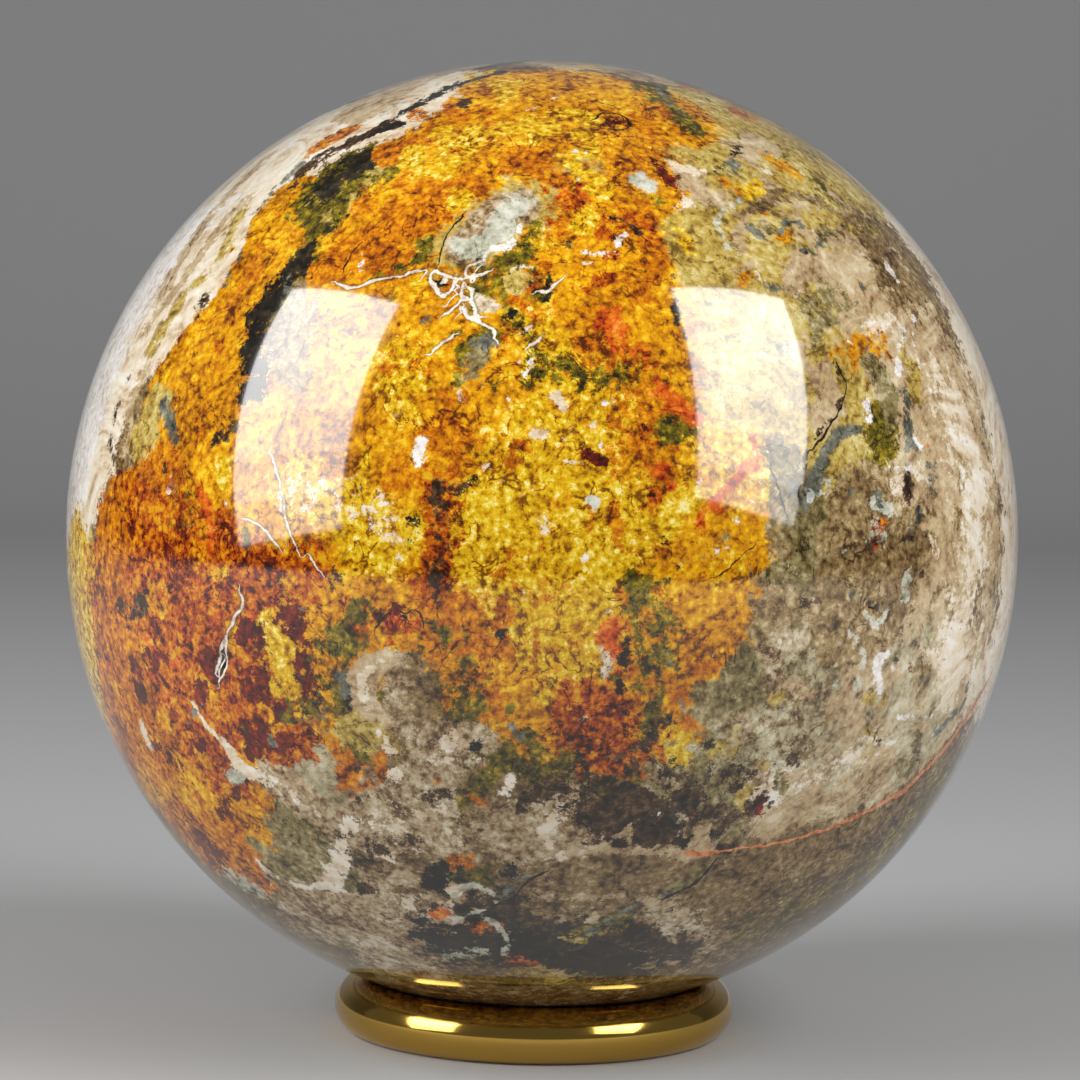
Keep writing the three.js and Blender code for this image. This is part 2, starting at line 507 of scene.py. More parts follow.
def lay_lens():
    lay("khaki", "surround", 8.0, 2.5, (522, 200), (490, 230), (455, 258), strength=0.5)
    lay("olive", "surround's right side", 2.5, 1.6, (536, 225), (520, 250), (500, 265), strength=0.8)
    lay("chalk", "lens", 5.0, 1.4, (515, 204), (488, 226), (468, 250))
    lay("pale", "lens's right half", 3.2, 1.2, (518, 200), (500, 226), (482, 245))
    lay("pale", "lens's foot", 3.0, 1.2, (464, 250), (476, 258))
    lay("white", "crisp edge", 1.2, 0.5, (528, 212), (521, 222), (518, 230))
    lay("white", "crisp edge below", 1.3, 0.5, (512, 239), (503, 247), (493, 250))
    lay("white", "crisp edge's foot", 1.0, 0.5, (487, 257), (481, 263), (477, 267))
    lay("white", "crumbs", 0.6, 0.4, (507, 262), (500, 270), (490, 274))
    lay("cream", "small arc", 0.7, 0.4, (512, 266), (522, 264), (532, 268))
    lay("olive", "above the white vein", 2.0, 1.2, (372, 274), (400, 268), (430, 262), strength=0.8)
    lay("olive", "olive zone", 6.0, 3.0, (490, 285), (520, 290), (525, 320), strength=0.75)
    lay("khaki", "orb", 2.4, 0.8, (516, 280), (522, 286))
    lay("yellow", "ringed orb", 1.6, 0.7, (417, 288))
    lay("black", "slit", 1.0, 0.5, (547, 272), (549, 284), (549, 298))
    lay("black", "slit's foot", 0.8, 0.6, (548, 300), (556, 312), (560, 322), strength=0.8)
    lay("black", "spot", 1.3, 0.6, (512, 312), (507, 318))
    lay("rust", "red-brown streak", 1.6, 1.0, (530, 286), (526, 300), (532, 318), strength=0.9)
    lay("ember", "red below it", 2.0, 1.2, (532, 312), (545, 316), strength=0.7)
    lay("white", "spar", 1.5, 0.5, (521, 338), (532, 330))
    lay("white", "spot on the right", 0.8, 0.4, (565, 323))
    lay("white", "spot on the left", 1.0, 0.5, (402, 333))
    lay("white", "spot with a shade", 0.8, 0.4, (421, 345))
    lay("black", "its shade", 0.6, 0.4, (424, 341))
    lay("chalk", "grey knot", 2.0, 0.9, (478, 302), (486, 306))
    lay("slate", "knot's shade", 1.2, 0.9, (430, 306), (427, 320), strength=0.8)


def lay_swirls():
    lay("orange", "crown's lower flow", 3.0, 2.0, (372, 232), (410, 190), (456, 156),
        (500, 140), strength=0.6)
    lay("orange", "crown's middle flow", 3.4, 2.2, (396, 220), (450, 190), (500, 172),
        (548, 148), strength=0.6)
    lay("rust", "crown's fine flow", 1.4, 1.4, (410, 216), (452, 180), (504, 158),
        (556, 140), strength=0.55)
    lay("yellow", "crown's upper flow", 2.6, 2.0, (470, 118), (520, 100), (580, 96),
        (630, 108), strength=0.5)
    lay("rust", "crown's right flow", 2.4, 2.0, (600, 140), (640, 130), (664, 150), strength=0.55)
    lay("orange", "left flank's flow", 3.0, 2.0, (262, 262), (226, 330), (205, 400),
        (198, 460), strength=0.6)
    lay("rust", "left flank's fine flow", 1.6, 1.6, (240, 300), (212, 360), (196, 430), strength=0.6)
    lay("khaki", "left of the middle", 3.0, 2.4, (392, 330), (388, 380), (400, 430), strength=0.5)
    lay("orange", "flow above the fissure", 3.0, 2.4, (392, 470), (420, 440), (450, 420),
        (470, 440), strength=0.6)
    lay("rust", "flow over the middle", 1.8, 1.6, (470, 350), (510, 372), (560, 366),
        (610, 380), strength=0.5)
    lay("orange", "flow under the middle", 4.0, 3.0, (480, 560), (530, 590), (590, 580),
        (650, 560), strength=0.55)
    lay("rust", "lower flow", 2.0, 1.8, (470, 600), (520, 640), (540, 700), strength=0.55)
    lay("khaki", "lower right flow", 3.0, 2.0, (700, 560), (660, 600), (610, 650), strength=0.55)
    lay("rust", "tongue's flow", 1.6, 1.4, (740, 560), (700, 590), (660, 640), strength=0.5)


Scatter = namedtuple("Scatter", "mineral rim pixel reach count smallest largest strength")
SCATTER_SEED = 5
SCATTER_LENGTHS = (0.1, 0.9)  # of a grain, as shares of its width
SCATTER_FADE = 0.4
PIXELS_IN_A_MM = 8
RIM_WIDTH = 0.8  # how much wider a ringed grain's rim is than the grain
SCATTERS = [
    Scatter("gold", None, (110, 600), 70, 16, 2.0, 4.5, 0.85),
    Scatter("gold", None, (190, 640), 80, 22, 2.0, 5.0, 0.85),
    Scatter("gold", None, (260, 640), 90, 24, 2.0, 5.0, 0.90),
    Scatter("gold", None, (210, 770), 70, 18, 1.5, 4.0, 0.90),
    Scatter("rust", None, (180, 600), 110, 30, 2.0, 5.0, 0.85),
    Scatter("rust", None, (250, 700), 80, 24, 1.5, 4.0, 0.90),
    Scatter("maroon", None, (180, 600), 100, 20, 1.0, 2.6, 0.90),
    Scatter("maroon", None, (250, 700), 80, 20, 1.2, 3.0, 0.85),
    Scatter("ember", "umber", (150, 620), 70, 12, 1.2, 2.4, 0.90),
    Scatter("rust", "maroon", (240, 620), 90, 16, 1.6, 3.0, 0.95),
    Scatter("ember", None, (230, 640), 110, 24, 0.9, 1.8, 0.85),
    Scatter("yellow", None, (240, 650), 100, 18, 0.9, 2.0, 0.90),
    Scatter("olive", None, (300, 700), 70, 16, 1.0, 2.6, 0.80),
    Scatter("umber", None, (370, 600), 80, 24, 0.9, 2.4, 0.75),
    Scatter("olive", None, (400, 640), 80, 24, 1.2, 3.2, 0.75),
    Scatter("rust", None, (370, 600), 80, 26, 1.2, 3.6, 0.80),
    Scatter("gold", None, (370, 610), 80, 24, 1.5, 4.0, 0.85),
    Scatter("orange", None, (430, 300), 120, 30, 1.6, 4.0, 0.70),
    Scatter("orange", None, (500, 180), 110, 28, 1.6, 4.0, 0.65),
    Scatter("yellow", None, (520, 150), 110, 24, 1.4, 3.4, 0.70),
    Scatter("rust", None, (560, 260), 110, 26, 1.0, 2.4, 0.70),
    Scatter("olive", None, (470, 300), 90, 18, 0.9, 2.2, 0.75),
    Scatter("orange", None, (560, 540), 130, 34, 1.6, 4.4, 0.70),
    Scatter("rust", None, (590, 560), 130, 24, 1.0, 2.4, 0.65),
    Scatter("yellow", None, (560, 600), 110, 24, 1.4, 3.6, 0.70),
    Scatter("cream", None, (570, 450), 90, 40, 0.6, 1.1, 0.90),
    Scatter("cream", None, (520, 600), 130, 26, 0.6, 1.0, 0.85),
    Scatter("umber", None, (540, 480), 190, 30, 0.7, 1.4, 0.80),
    Scatter("orange", None, (640, 660), 80, 20, 1.4, 3.4, 0.75),
    Scatter("olive", None, (640, 640), 90, 16, 1.0, 2.8, 0.70),
    Scatter("cream", None, (820, 240), 90, 9, 0.9, 2.2, 0.75),
    Scatter("tan", None, (790, 260), 100, 22, 1.4, 3.6, 0.70),
    Scatter("greygreen", None, (790, 250), 110, 22, 1.0, 2.8, 0.55),
    Scatter("gold", None, (720, 250), 70, 14, 1.0, 2.6, 0.75),
    Scatter("sand", None, (835, 580), 85, 32, 1.6, 4.6, 0.80),
    Scatter("taupe", None, (840, 560), 85, 22, 1.4, 4.0, 0.80),
    Scatter("pale", None, (850, 520), 80, 16, 0.9, 2.2, 0.80),
    Scatter("slate", None, (850, 520), 80, 16, 0.8, 1.8, 0.75),
    Scatter("umber", None, (850, 580), 90, 16, 0.8, 1.8, 0.65),
    Scatter("chalk", None, (800, 720), 90, 26, 1.6, 4.4, 0.80),
    Scatter("tan", None, (860, 740), 80, 20, 1.4, 3.6, 0.80),
    Scatter("greygreen", None, (820, 740), 100, 12, 1.2, 3.0, 0.60),
    Scatter("khaki", None, (800, 720), 100, 16, 1.2, 3.2, 0.60),
    Scatter("umber", None, (820, 720), 110, 26, 0.7, 1.6, 0.60),
    Scatter("sand", None, (940, 600), 90, 24, 1.2, 3.4, 0.60),
    Scatter("cream", None, (960, 520), 80, 14, 1.2, 3.0, 0.60),
    Scatter("umber", None, (640, 820), 120, 30, 1.4, 3.6, 0.80),
    Scatter("chalk", None, (640, 880), 110, 26, 1.0, 3.0, 0.85),
    Scatter("black", None, (560, 900), 130, 30, 1.0, 3.0, 0.85),
    Scatter("tan", None, (600, 890), 140, 20, 0.8, 2.0, 0.80),
    Scatter("olive", None, (560, 800), 120, 22, 1.0, 2.8, 0.75),
    Scatter("umber", None, (370, 870), 110, 40, 1.0, 2.8, 0.85),
    Scatter("cream", None, (360, 860), 100, 26, 0.9, 2.6, 0.80),
    Scatter("taupe", None, (400, 830), 110, 26, 1.4, 3.6, 0.85),
    Scatter("greygreen", None, (300, 890), 80, 18, 1.2, 3.2, 0.80),
    Scatter("umber", None, (820, 850), 110, 30, 1.2, 3.4, 0.80),
    Scatter("greygreen", None, (830, 840), 110, 20, 1.2, 3.0, 0.80),
]


def lay_scattered():
    """Orbs, flecks and crumbs, strewn about named places."""
    dice = random.Random(SCATTER_SEED)
    for patch in SCATTERS:
        for _ in range(patch.count):
            turn = dice.uniform(0, 2 * math.pi)
            away = patch.reach * math.sqrt(dice.random())
            start = (patch.pixel[0] + away * math.cos(turn), patch.pixel[1] + away * math.sin(turn))
            width = dice.uniform(patch.smallest, patch.largest)
            length = width * PIXELS_IN_A_MM * dice.uniform(*SCATTER_LENGTHS)
            turn = dice.uniform(0, 2 * math.pi)
            end = (start[0] + length * math.cos(turn), start[1] + length * math.sin(turn))
            if patch.rim:
                lay(patch.rim, "rim", width + RIM_WIDTH, SCATTER_FADE, start, end,
                    strength=patch.strength)
            lay(patch.mineral, "grain", width, SCATTER_FADE, start, end, strength=patch.strength)


def lay_middle():
    lay("yellow", "bright middle", 20, 7, (590, 400), (560, 470), (540, 540), strength=0.62)
    lay("yellow", "bright left", 8, 5, (400, 360), (405, 410), strength=0.6)
    lay("yellow", "bright lower left", 8, 5, (470, 520), (470, 580), strength=0.6)
    lay("yellow", "bright right", 7, 4, (690, 510), (650, 520), strength=0.6)
    lay("orange", "left of the bright middle", 7, 4, (440, 440), (440, 470), (400, 490), strength=0.6)
    lay("orange", "right of the bright middle", 8, 4, (600, 330), (640, 380), (640, 450), strength=0.6)
    lay("olive", "dark flecks", 5, 3, (545, 365), (580, 372), (610, 378), strength=0.62)
    lay("olive", "right of the streak", 5, 2.5, (665, 430), (684, 415), strength=0.75)
    lay("olive", "grey crescent's outline", 2.0, 0.8, (492, 338), (474, 343), (461, 358), (462, 380))
    lay("slate", "grey crescent", 2.6, 1.2, (484, 346), (472, 358), (472, 376))
    lay("greygreen", "crescent's face", 1.8, 0.8, (478, 356), (475, 374))
    lay("cream", "crescent's foot", 1.2, 0.8, (464, 384), (458, 392), (466, 402), strength=0.8)
    lay("white", "below the crescent", 0.8, 0.5, (458, 404), (468, 410))
    lay("white", "tall spot's neck", 0.9, 0.5, (423, 421), (421, 436))
    lay("white", "tall spot", 2.0, 0.6, (418, 446), (419, 462))
    lay("white", "crumb", 1.0, 0.5, (506, 396), (509, 402))
    lay("white", "crumb below", 1.3, 0.6, (513, 418), (516, 424))
    lay("white", "slant crumb", 0.9, 0.4, (533, 362), (526, 374))
    lay("cream", "slant crumb on the left", 0.6, 0.4, (518, 362), (515, 370))
    lay("white", "right crumb", 1.1, 0.5, (604, 404), (611, 402))
    lay("cream", "pale patch", 1.6, 1.0, (555, 392), (558, 404), strength=0.6)
    lay("cream", "pale patch on the left", 1.2, 0.8, (536, 432), (544, 434), strength=0.6)
    lay("white", "crumb by the red", 1.0, 0.5, (598, 450))
    lay("cream", "long arc", 0.9, 0.5, (544, 467), (560, 462), (576, 464))
    lay("cream", "crumb on the left", 0.9, 0.6, (484, 470), (492, 466))
    lay("cream", "crumb under it", 0.8, 0.5, (505, 483), (513, 481))
    lay("cream", "orb's halo", 1.2, 0.9, (538, 493), (522, 502), (518, 520), strength=0.55)
    lay("cream", "orb", 2.2, 1.2, (545, 526), strength=0.5)
    lay("rust", "orb's brown rim", 0.8, 0.5, (530, 515), (540, 509), (552, 511), (560, 520), (557, 530))
    lay("pale", "grey crumb", 1.2, 0.6, (588, 503), (596, 503))
    lay("white", "low crumb", 0.9, 0.4, (610, 550))
    lay("cream", "low crumb on the left", 1.0, 0.5, (588, 553))
    lay("cream", "short line", 0.6, 0.4, (508, 561), (524, 563))
    lay("orange", "long oval", 2.0, 0.8, (520, 442), (514, 460), strength=0.9)
    lay("orange", "small oval", 1.0, 0.5, (591, 508), (592, 524))
    lay("orange", "tall oval", 1.5, 0.6, (614, 506), (620, 522), (618, 538), strength=0.9)
    lay("orange", "left oval", 1.2, 0.8, (460, 437), (480, 438), strength=0.8)
    lay("rust", "brown stripe", 1.8, 1.0, (640, 428), (642, 450), strength=0.7)
    lay("maroon", "dark knot", 1.8, 0.8, (582, 452), (588, 458))
    lay("maroon", "knot's tail", 0.8, 0.5, (598, 462), (606, 464))
    lay("ember", "red patch", 3.0, 1.4, (662, 472), (670, 488))
    lay("rust", "below the red patch", 2.2, 1.4, (662, 494), (655, 508), strength=0.8)
    lay("black", "dark knot on the right", 2.2, 1.2, (668, 543), (674, 554), strength=0.85)
    lay("ember", "red streak", 2.0, 1.6, (605, 318), (618, 338), (640, 346), (650, 366),
        (660, 392), strength=0.75)
    lay("ember", "red streak's foot", 1.8, 1.0, (660, 392), (672, 404), (690, 414), strength=0.9)
    lay("ember", "red above the streak", 2.6, 1.8, (606, 304), (615, 320), strength=0.7)
    lay("cream", "crumb on the streak", 0.9, 0.5, (665, 349), (670, 345))
    lay("rust", "fissure's shade", 5.0, 3.0, (438, 490), (436, 560), (438, 630), strength=0.8)
    lay("umber", "fissure's top", 1.2, 1.4, (478, 478), (458, 488), (440, 490), strength=0.8)
    lay("umber", "fissure", 2.4, 1.8, (436, 494), (434, 540), (432, 590), (438, 640))
    lay("black", "dark spot", 2.2, 1.0, (415, 520), (410, 545))
    lay("white", "the dark spot's fleck", 0.6, 0.4, (417, 530), (416, 540))
    lay("yellow", "patch below the left light", 8.0, 3.0, (300, 490), (350, 505),
        (380, 535), strength=0.8)
    lay("cream", "patch's grains", 7.0, 2.5, (300, 490), (345, 500), (375, 525), strength=0.22)
    lay("cream", "patch's right edge", 1.2, 1.0, (372, 508), (392, 535), (396, 555), strength=0.6)
    lay("yellow", "yellow under the patch", 4.0, 2.0, (350, 540), (375, 560), strength=0.7)
    lay("yellow", "yellow strip", 1.2, 0.7, (362, 448), (364, 476))


def lay_red_vein():
    lay("cream", "pale around the vein", 5.0, 2.5, (740, 440), (735, 480), (710, 500), strength=0.3)
    lay("yellow", "yellow around the vein", 8.0, 3.0, (730, 450), (740, 490), (715, 515), strength=0.8)
    lay("ember", "vein's top", 1.2, 0.8, (741, 428), (748, 446), (750, 472), strength=0.9)
    lay("ember", "vein", 2.0, 1.0, (738, 470), (728, 490), (716, 506))
    lay("ember", "vein's foot", 2.8, 0.9, (712, 516), (704, 532), (708, 542))
    lay("maroon", "vein's dark heart", 1.0, 0.6, (712, 518), (707, 526), strength=0.8)
    lay("white", "pale edge", 0.8, 0.5, (690, 524), (695, 540))
    lay("umber", "diagonal", 2.0, 1.2, (716, 548), (696, 566), (672, 584), (648, 598))
    lay("umber", "diagonal's foot", 1.6, 1.4, (648, 598), (620, 616), (600, 640), strength=0.7)
    lay("gold", "tongue's gold", 9.0, 4.0, (735, 550), (715, 600), (690, 650), strength=0.8)
    lay("yellow", "tongue's light", 4.0, 3.0, (735, 560), (722, 590), (735, 620), strength=0.6)
    lay("slate", "diagonal's end", 1.4, 0.8, (724, 540), (716, 556), strength=0.8)
    lay("white", "crumbs on the tongue", 1.0, 0.6, (730, 522), (736, 526))
    lay("white", "crumbs under it", 1.1, 0.6, (722, 556), (730, 550))


def lay_lower_middle():
    lay("orange", "left part", 8, 4, (450, 640), (460, 690), (480, 730), strength=0.6)
    lay("orange", "shade", 8, 5, (520, 590), (500, 620), strength=0.5)
    lay("olive", "right part", 7, 4, (640, 600), (660, 650), (640, 720), strength=0.55)
    lay("yellow", "bright part", 8, 4, (540, 640), (560, 660), strength=0.5)
    lay("umber", "fissure", 1.1, 0.8, (504, 628), (500, 650), (488, 674), (480, 700))
    lay("rust", "red zone", 8, 2.5, (580, 710), (600, 720), (590, 740), strength=0.9)
    lay("maroon", "red zone's heart", 4, 2.5, (575, 715), (590, 735), strength=0.6)
    lay("cream", "pale spot", 1.4, 0.7, (580, 717), (587, 717))
    lay("ember", "red spot", 3.2, 1.5, (612, 632), (614, 640), strength=0.85)
    lay("ember", "lower red spot", 1.8, 0.9, (618, 656), (620, 668), strength=0.8)
    lay("black", "dark green line", 1.8, 1.0, (628, 640), (626, 668), (622, 695), strength=0.9)
    lay("cream", "crumb at the top", 1.1, 0.6, (602, 612), (608, 614))
    lay("cream", "thin arc", 0.6, 0.5, (590, 628), (600, 622), strength=0.9)
    lay("cream", "cluster", 1.0, 0.9, (600, 654), (606, 664), (603, 674), strength=0.8)
    lay("cream", "crumb on the left", 1.1, 0.5, (565, 680))
    lay("cream", "crumb by it", 0.8, 0.5, (581, 675))
    lay("pale", "grey crumb", 1.1, 0.5, (605, 598))
    lay("slate", "grey crescent", 1.3, 0.6, (508, 722), (512, 732), (520, 736))
    lay("slate", "second crescent", 1.1, 0.6, (560, 704), (551, 718), (556, 728))
    lay("pale", "crumb under it", 1.2, 0.6, (546, 740), (545, 748))
    lay("yellow", "yellow orb", 4.0, 1.6, (686, 744), (690, 752), strength=0.9)
    lay("orange", "orange at the border", 3.0, 2.0, (690, 700), (700, 730), strength=0.8)
    lay("orange", "orange above", 2.0, 1.2, (700, 668), (722, 662), strength=0.9)
    lay("white", "pink crumb", 0.9, 0.5, (711, 648), (714, 653))
    lay("slate", "dark line", 1.2, 0.9, (668, 660), (680, 690), (686, 712), strength=0.7)
    lay("rust", "border below", 3.0, 2.0, (600, 748), (650, 760), strength=0.6)
    lay("greygreen", "light grainy patch", 5.0, 1.5, (716, 700), (740, 690), (752, 670))
    lay("chalk", "light patch", 1.6, 1.0, (706, 690), (720, 704), strength=0.8)
    lay("olive", "green foot", 5.0, 3.0, (490, 760), (530, 765), (560, 760), strength=0.7)
    lay("umber", "dark middle", 9.0, 5.0, (560, 792), (620, 800), (690, 800), strength=0.6)
    lay("umber", "dark middle's left", 5.0, 4.0, (510, 800), (560, 810), strength=0.5)
    lay("olive", "green patch on the left", 3.6, 2.0, (450, 705), (460, 720), strength=0.7)
    lay("cream", "cream crumbs", 1.4, 1.0, (508, 778), (500, 790), strength=0.9)


def lay_lower_left():
    lay("yellow", "yellow rim", 13, 4, (76, 560), (80, 620), (90, 680), strength=0.8)
    lay("orange", "orange inside the rim", 8, 4, (112, 520), (118, 600), (130, 680))
    lay("rust", "stripe", 2.0, 1.4, (122, 478), (130, 500), (132, 520), strength=0.9)
    lay("khaki", "olive patch", 5.0, 2.0, (142, 440), (152, 425), (160, 408), strength=0.9)
    lay("slate", "grey beside it", 2.2, 1.0, (166, 405), (172, 420), (176, 440))
    lay("white", "pale fleck", 0.9, 0.6, (166, 398), (170, 408))
    lay("umber", "dark notch", 1.5, 0.8, (162, 458), (163, 475))
    # The dark foot of the notch is painted shade in the pit sunk there.
    lay("umber", "dark notch's foot", 0.9, 0.6, (166, 478), (172, 492))
    lay("white", "pit's upper lip", 0.6, 0.4, (170, 480), (172, 487))
    lay("white", "pit's lower lip", 0.8, 0.4, (172, 497), (175, 497))
    lay("umber", "brown by the light", 3.0, 2.0, (218, 438), (230, 430), strength=0.8)
    lay("yellow", "yellow patch", 3.0, 1.4, (226, 466), (224, 486), strength=0.95)
    lay("cream", "cream fleck", 0.9, 0.6, (212, 452), (216, 448))
    lay("white", "fleck", 1.0, 0.5, (226, 497), (227, 502))
    lay("ember", "red-orange streak", 2.8, 1.6, (200, 500), (206, 520), (208, 542), strength=0.9)
    lay("rust", "rust field", 8, 4, (165, 545), (180, 570), (185, 600), strength=0.85)
    lay("maroon", "rust field's heart", 3, 2, (168, 550), (182, 582), strength=0.7)
    lay("olive", "olive mottle", 4, 2.5, (175, 520), (180, 500), strength=0.5)
    lay("maroon", "rim orb", 1.8, 0.7, (131, 526), (130, 536), strength=0.9)
    lay("rust", "lower rim orb", 1.6, 0.8, (128, 566), (128, 578), strength=0.9)
    lay("umber", "dark patch", 4.2, 2.4, (125, 600), (140, 598), strength=0.75)
    lay("maroon", "ringed orb", 3.2, 0.9, (148, 656), (150, 662))
    lay("rust", "ringed orb's face", 1.8, 0.8, (149, 660))
    lay("maroon", "long orb", 3.0, 0.9, (134, 664), (138, 678), (141, 690))
    lay("rust", "long orb's face", 1.4, 0.8, (135, 668), (137, 676))
    lay("cream", "tan spot", 2.2, 1.2, (142, 724), (148, 740), strength=0.9)
    lay("maroon", "low rim shade", 5, 3, (170, 760), (160, 750), strength=0.6)
    # The maroon at the lower left foot is partly the stone's own and partly painted shade on the
    # underside.
    lay("maroon", "dark foot", 8, 4, (210, 850), (225, 870), strength=0.7)
    lay("olive", "orb by the light", 1.5, 0.8, (245, 534), (247, 552), strength=0.9)
    lay("rust", "second orb by the light", 1.8, 1.0, (261, 540), (260, 552), strength=0.9)
    lay("rust", "rust below the light", 4.0, 2.0, (300, 555), (315, 572), strength=0.8)
    lay("umber", "brown orb", 2.2, 1.2, (335, 580), strength=0.8)
    lay("rust", "orbs", 4.0, 1.6, (255, 590), (268, 585), strength=0.85)
    lay("slate", "grey arc", 1.0, 0.7, (278, 620), (292, 610), (306, 608), strength=0.9)
    lay("maroon", "maroon zone", 6.5, 3.0, (292, 622), (305, 650), (312, 672), strength=0.62)
    lay("maroon", "left maroon", 4.0, 2.2, (262, 655), (258, 690), strength=0.7)
    lay("yellow", "yellow patch above", 2.4, 0.9, (272, 636), (288, 646))
    lay("yellow", "yellow patch below", 2.6, 0.9, (284, 664), (288, 680))
    lay("maroon", "round orb", 3.4, 1.2, (252, 722), (256, 728), strength=0.9)
    lay("gold", "round orb's rim", 0.8, 0.5, (256, 706), (268, 712), (272, 726), (270, 740))
    lay("maroon", "low maroon", 3.0, 2.0, (248, 744), (268, 742), (285, 745), strength=0.75)
    lay("maroon", "right maroon", 3.0, 1.6, (310, 745), (318, 755), strength=0.8)
    lay("rust", "right foot", 6.0, 2.5, (325, 760), (345, 775), (345, 795), strength=0.85)
    lay("slate", "grey fleck", 1.3, 0.8, (268, 740), (276, 744), strength=0.8)
    lay("maroon", "ring left", 2.6, 0.8, (383, 618), (392, 612), strength=0.9)
    lay("ember", "ring left's face", 1.5, 0.8, (388, 618), strength=0.9)
    lay("maroon", "ring right", 2.4, 0.9, (410, 616), (414, 608), strength=0.8)
    lay("ember", "red by the rings", 4.0, 2.2, (400, 630), (416, 640), strength=0.7)
    lay("umber", "dark under the rings", 2.6, 1.6, (412, 655), (428, 650), strength=0.8)
    lay("gold", "gold foot", 5.0, 2.0, (240, 810), (262, 830), (275, 848), strength=0.9)
    lay("gold", "gold foot's left", 2.4, 1.4, (205, 800), (215, 805), strength=0.9)
    lay("maroon", "dark between", 3.0, 1.6, (235, 795), (222, 815), strength=0.8)
    lay("orange", "diagonal line's start", 0.8, 0.5, (163, 662), (182, 684), (200, 707))
    lay("cream", "diagonal line", 1.1, 0.5, (192, 698), (206, 718), (216, 732), (228, 750))
    lay("cream", "diagonal line's end", 1.8, 0.6, (224, 744), (238, 762), (258, 778), (280, 790))
    lay("slate", "diagonal line's branch", 0.9, 0.5, (202, 700), (192, 710), (186, 722), strength=0.8)
    lay("white", "white bar", 0.7, 0.4, (213, 601), (233, 600))
    lay("white", "white bar below", 0.6, 0.4, (218, 606), (232, 605))


def lay_pink_crescent():
    lay("olive", "surround", 7.0, 2.5, (342, 650), (342, 700), (350, 750), strength=0.9)
    lay("gold", "surround's gold", 4.0, 2.5, (330, 660), (325, 710), (340, 755), strength=0.5)
    lay("khaki", "surround's light", 2.0, 1.6, (350, 720), (365, 745), strength=0.8)
    lay("olive", "right of the filling", 5.0, 3.0, (446, 650), (462, 700), (468, 745), strength=0.7)
    lay("gold", "gold right of the filling", 3.0, 2.0, (440, 660), (455, 700), strength=0.6)
    lay("olive", "inside", 4.0, 2.0, (392, 680), (400, 665), strength=0.8)
    lay("slate", "dark teal", 2.6, 1.4, (342, 672), (344, 690))
    lay("black", "teal's shade", 1.6, 1.0, (344, 700), (346, 712), strength=0.8)
    lay("white", "teal's fleck", 0.8, 0.4, (340, 678))
    lay("taupe", "grey filling", 6.0, 2.5, (408, 690), (412, 740), strength=0.8)
    lay("chalk", "filling's pale side", 3.0, 2.0, (398, 670), (402, 720), (420, 750), strength=0.8)
    lay("tan", "crescent's top", 2.2, 0.8, (384, 655), (368, 660))
    lay("tan", "crescent", 3.2, 0.9, (364, 664), (357, 682), (362, 702), (372, 714))
    lay("cream", "crescent's light", 1.6, 0.9, (378, 657), (361, 668), (357, 688), (366, 708))
    lay("tan", "crescent's foot", 1.8, 0.8, (374, 714), (390, 726))
    lay("umber", "crescent's crumbs", 1.0, 0.8, (370, 680), (368, 696), strength=0.6)
    lay("white", "crescent's flecks", 1.2, 1.2, (366, 670), (360, 690), (374, 708), strength=0.5)
    lay("white", "crumb above", 0.7, 0.4, (388, 643))
    lay("khaki", "yellow-green", 3.0, 2.5, (345, 735), (370, 730), (390, 750), strength=0.7)
    lay("orange", "orange below it", 3.0, 2.0, (335, 750), (350, 780), (335, 790), strength=0.8)
    lay("cream", "crumbs below", 2.0, 1.6, (382, 740), (388, 752), strength=0.7)
    lay("orange", "orange crumbs", 2.0, 1.2, (384, 760), (380, 785), (365, 795), strength=0.8)
    lay("orange", "orange crumbs on the right", 2.2, 1.2, (422, 788), (436, 786), strength=0.8)
    lay("black", "small pit's shade", 1.4, 0.7, (355, 772))
    lay("white", "small pit's lip", 0.8, 0.4, (363, 772))
    lay("umber", "brown at the foot", 2.6, 1.4, (352, 800), (375, 806), strength=0.8)


def lay_white_wedge():
    lay("greygreen", "green below it", 7.0, 2.5, (292, 832), (300, 860), (280, 870))
    lay("celadon", "grey-green above it", 4.5, 1.6, (322, 770), (318, 790), (335, 800), strength=0.8)
    lay("chalk", "wedge", 5.0, 2.0, (275, 780), (305, 800), (330, 818), strength=0.9)
    lay("cream", "wedge's light", 2.0, 1.4, (262, 775), (295, 796), (322, 812), strength=0.7)
    lay("tan", "wedge's pink side", 2.4, 1.4, (285, 778), (305, 790), strength=0.7)
    lay("white", "wedge's white side", 0.9, 0.6, (258, 775), (275, 788), (300, 804))
    lay("pale", "orb", 2.4, 0.8, (232, 777), (238, 777))
    lay("slate", "orb's heart", 1.0, 0.8, (236, 778), strength=0.7)


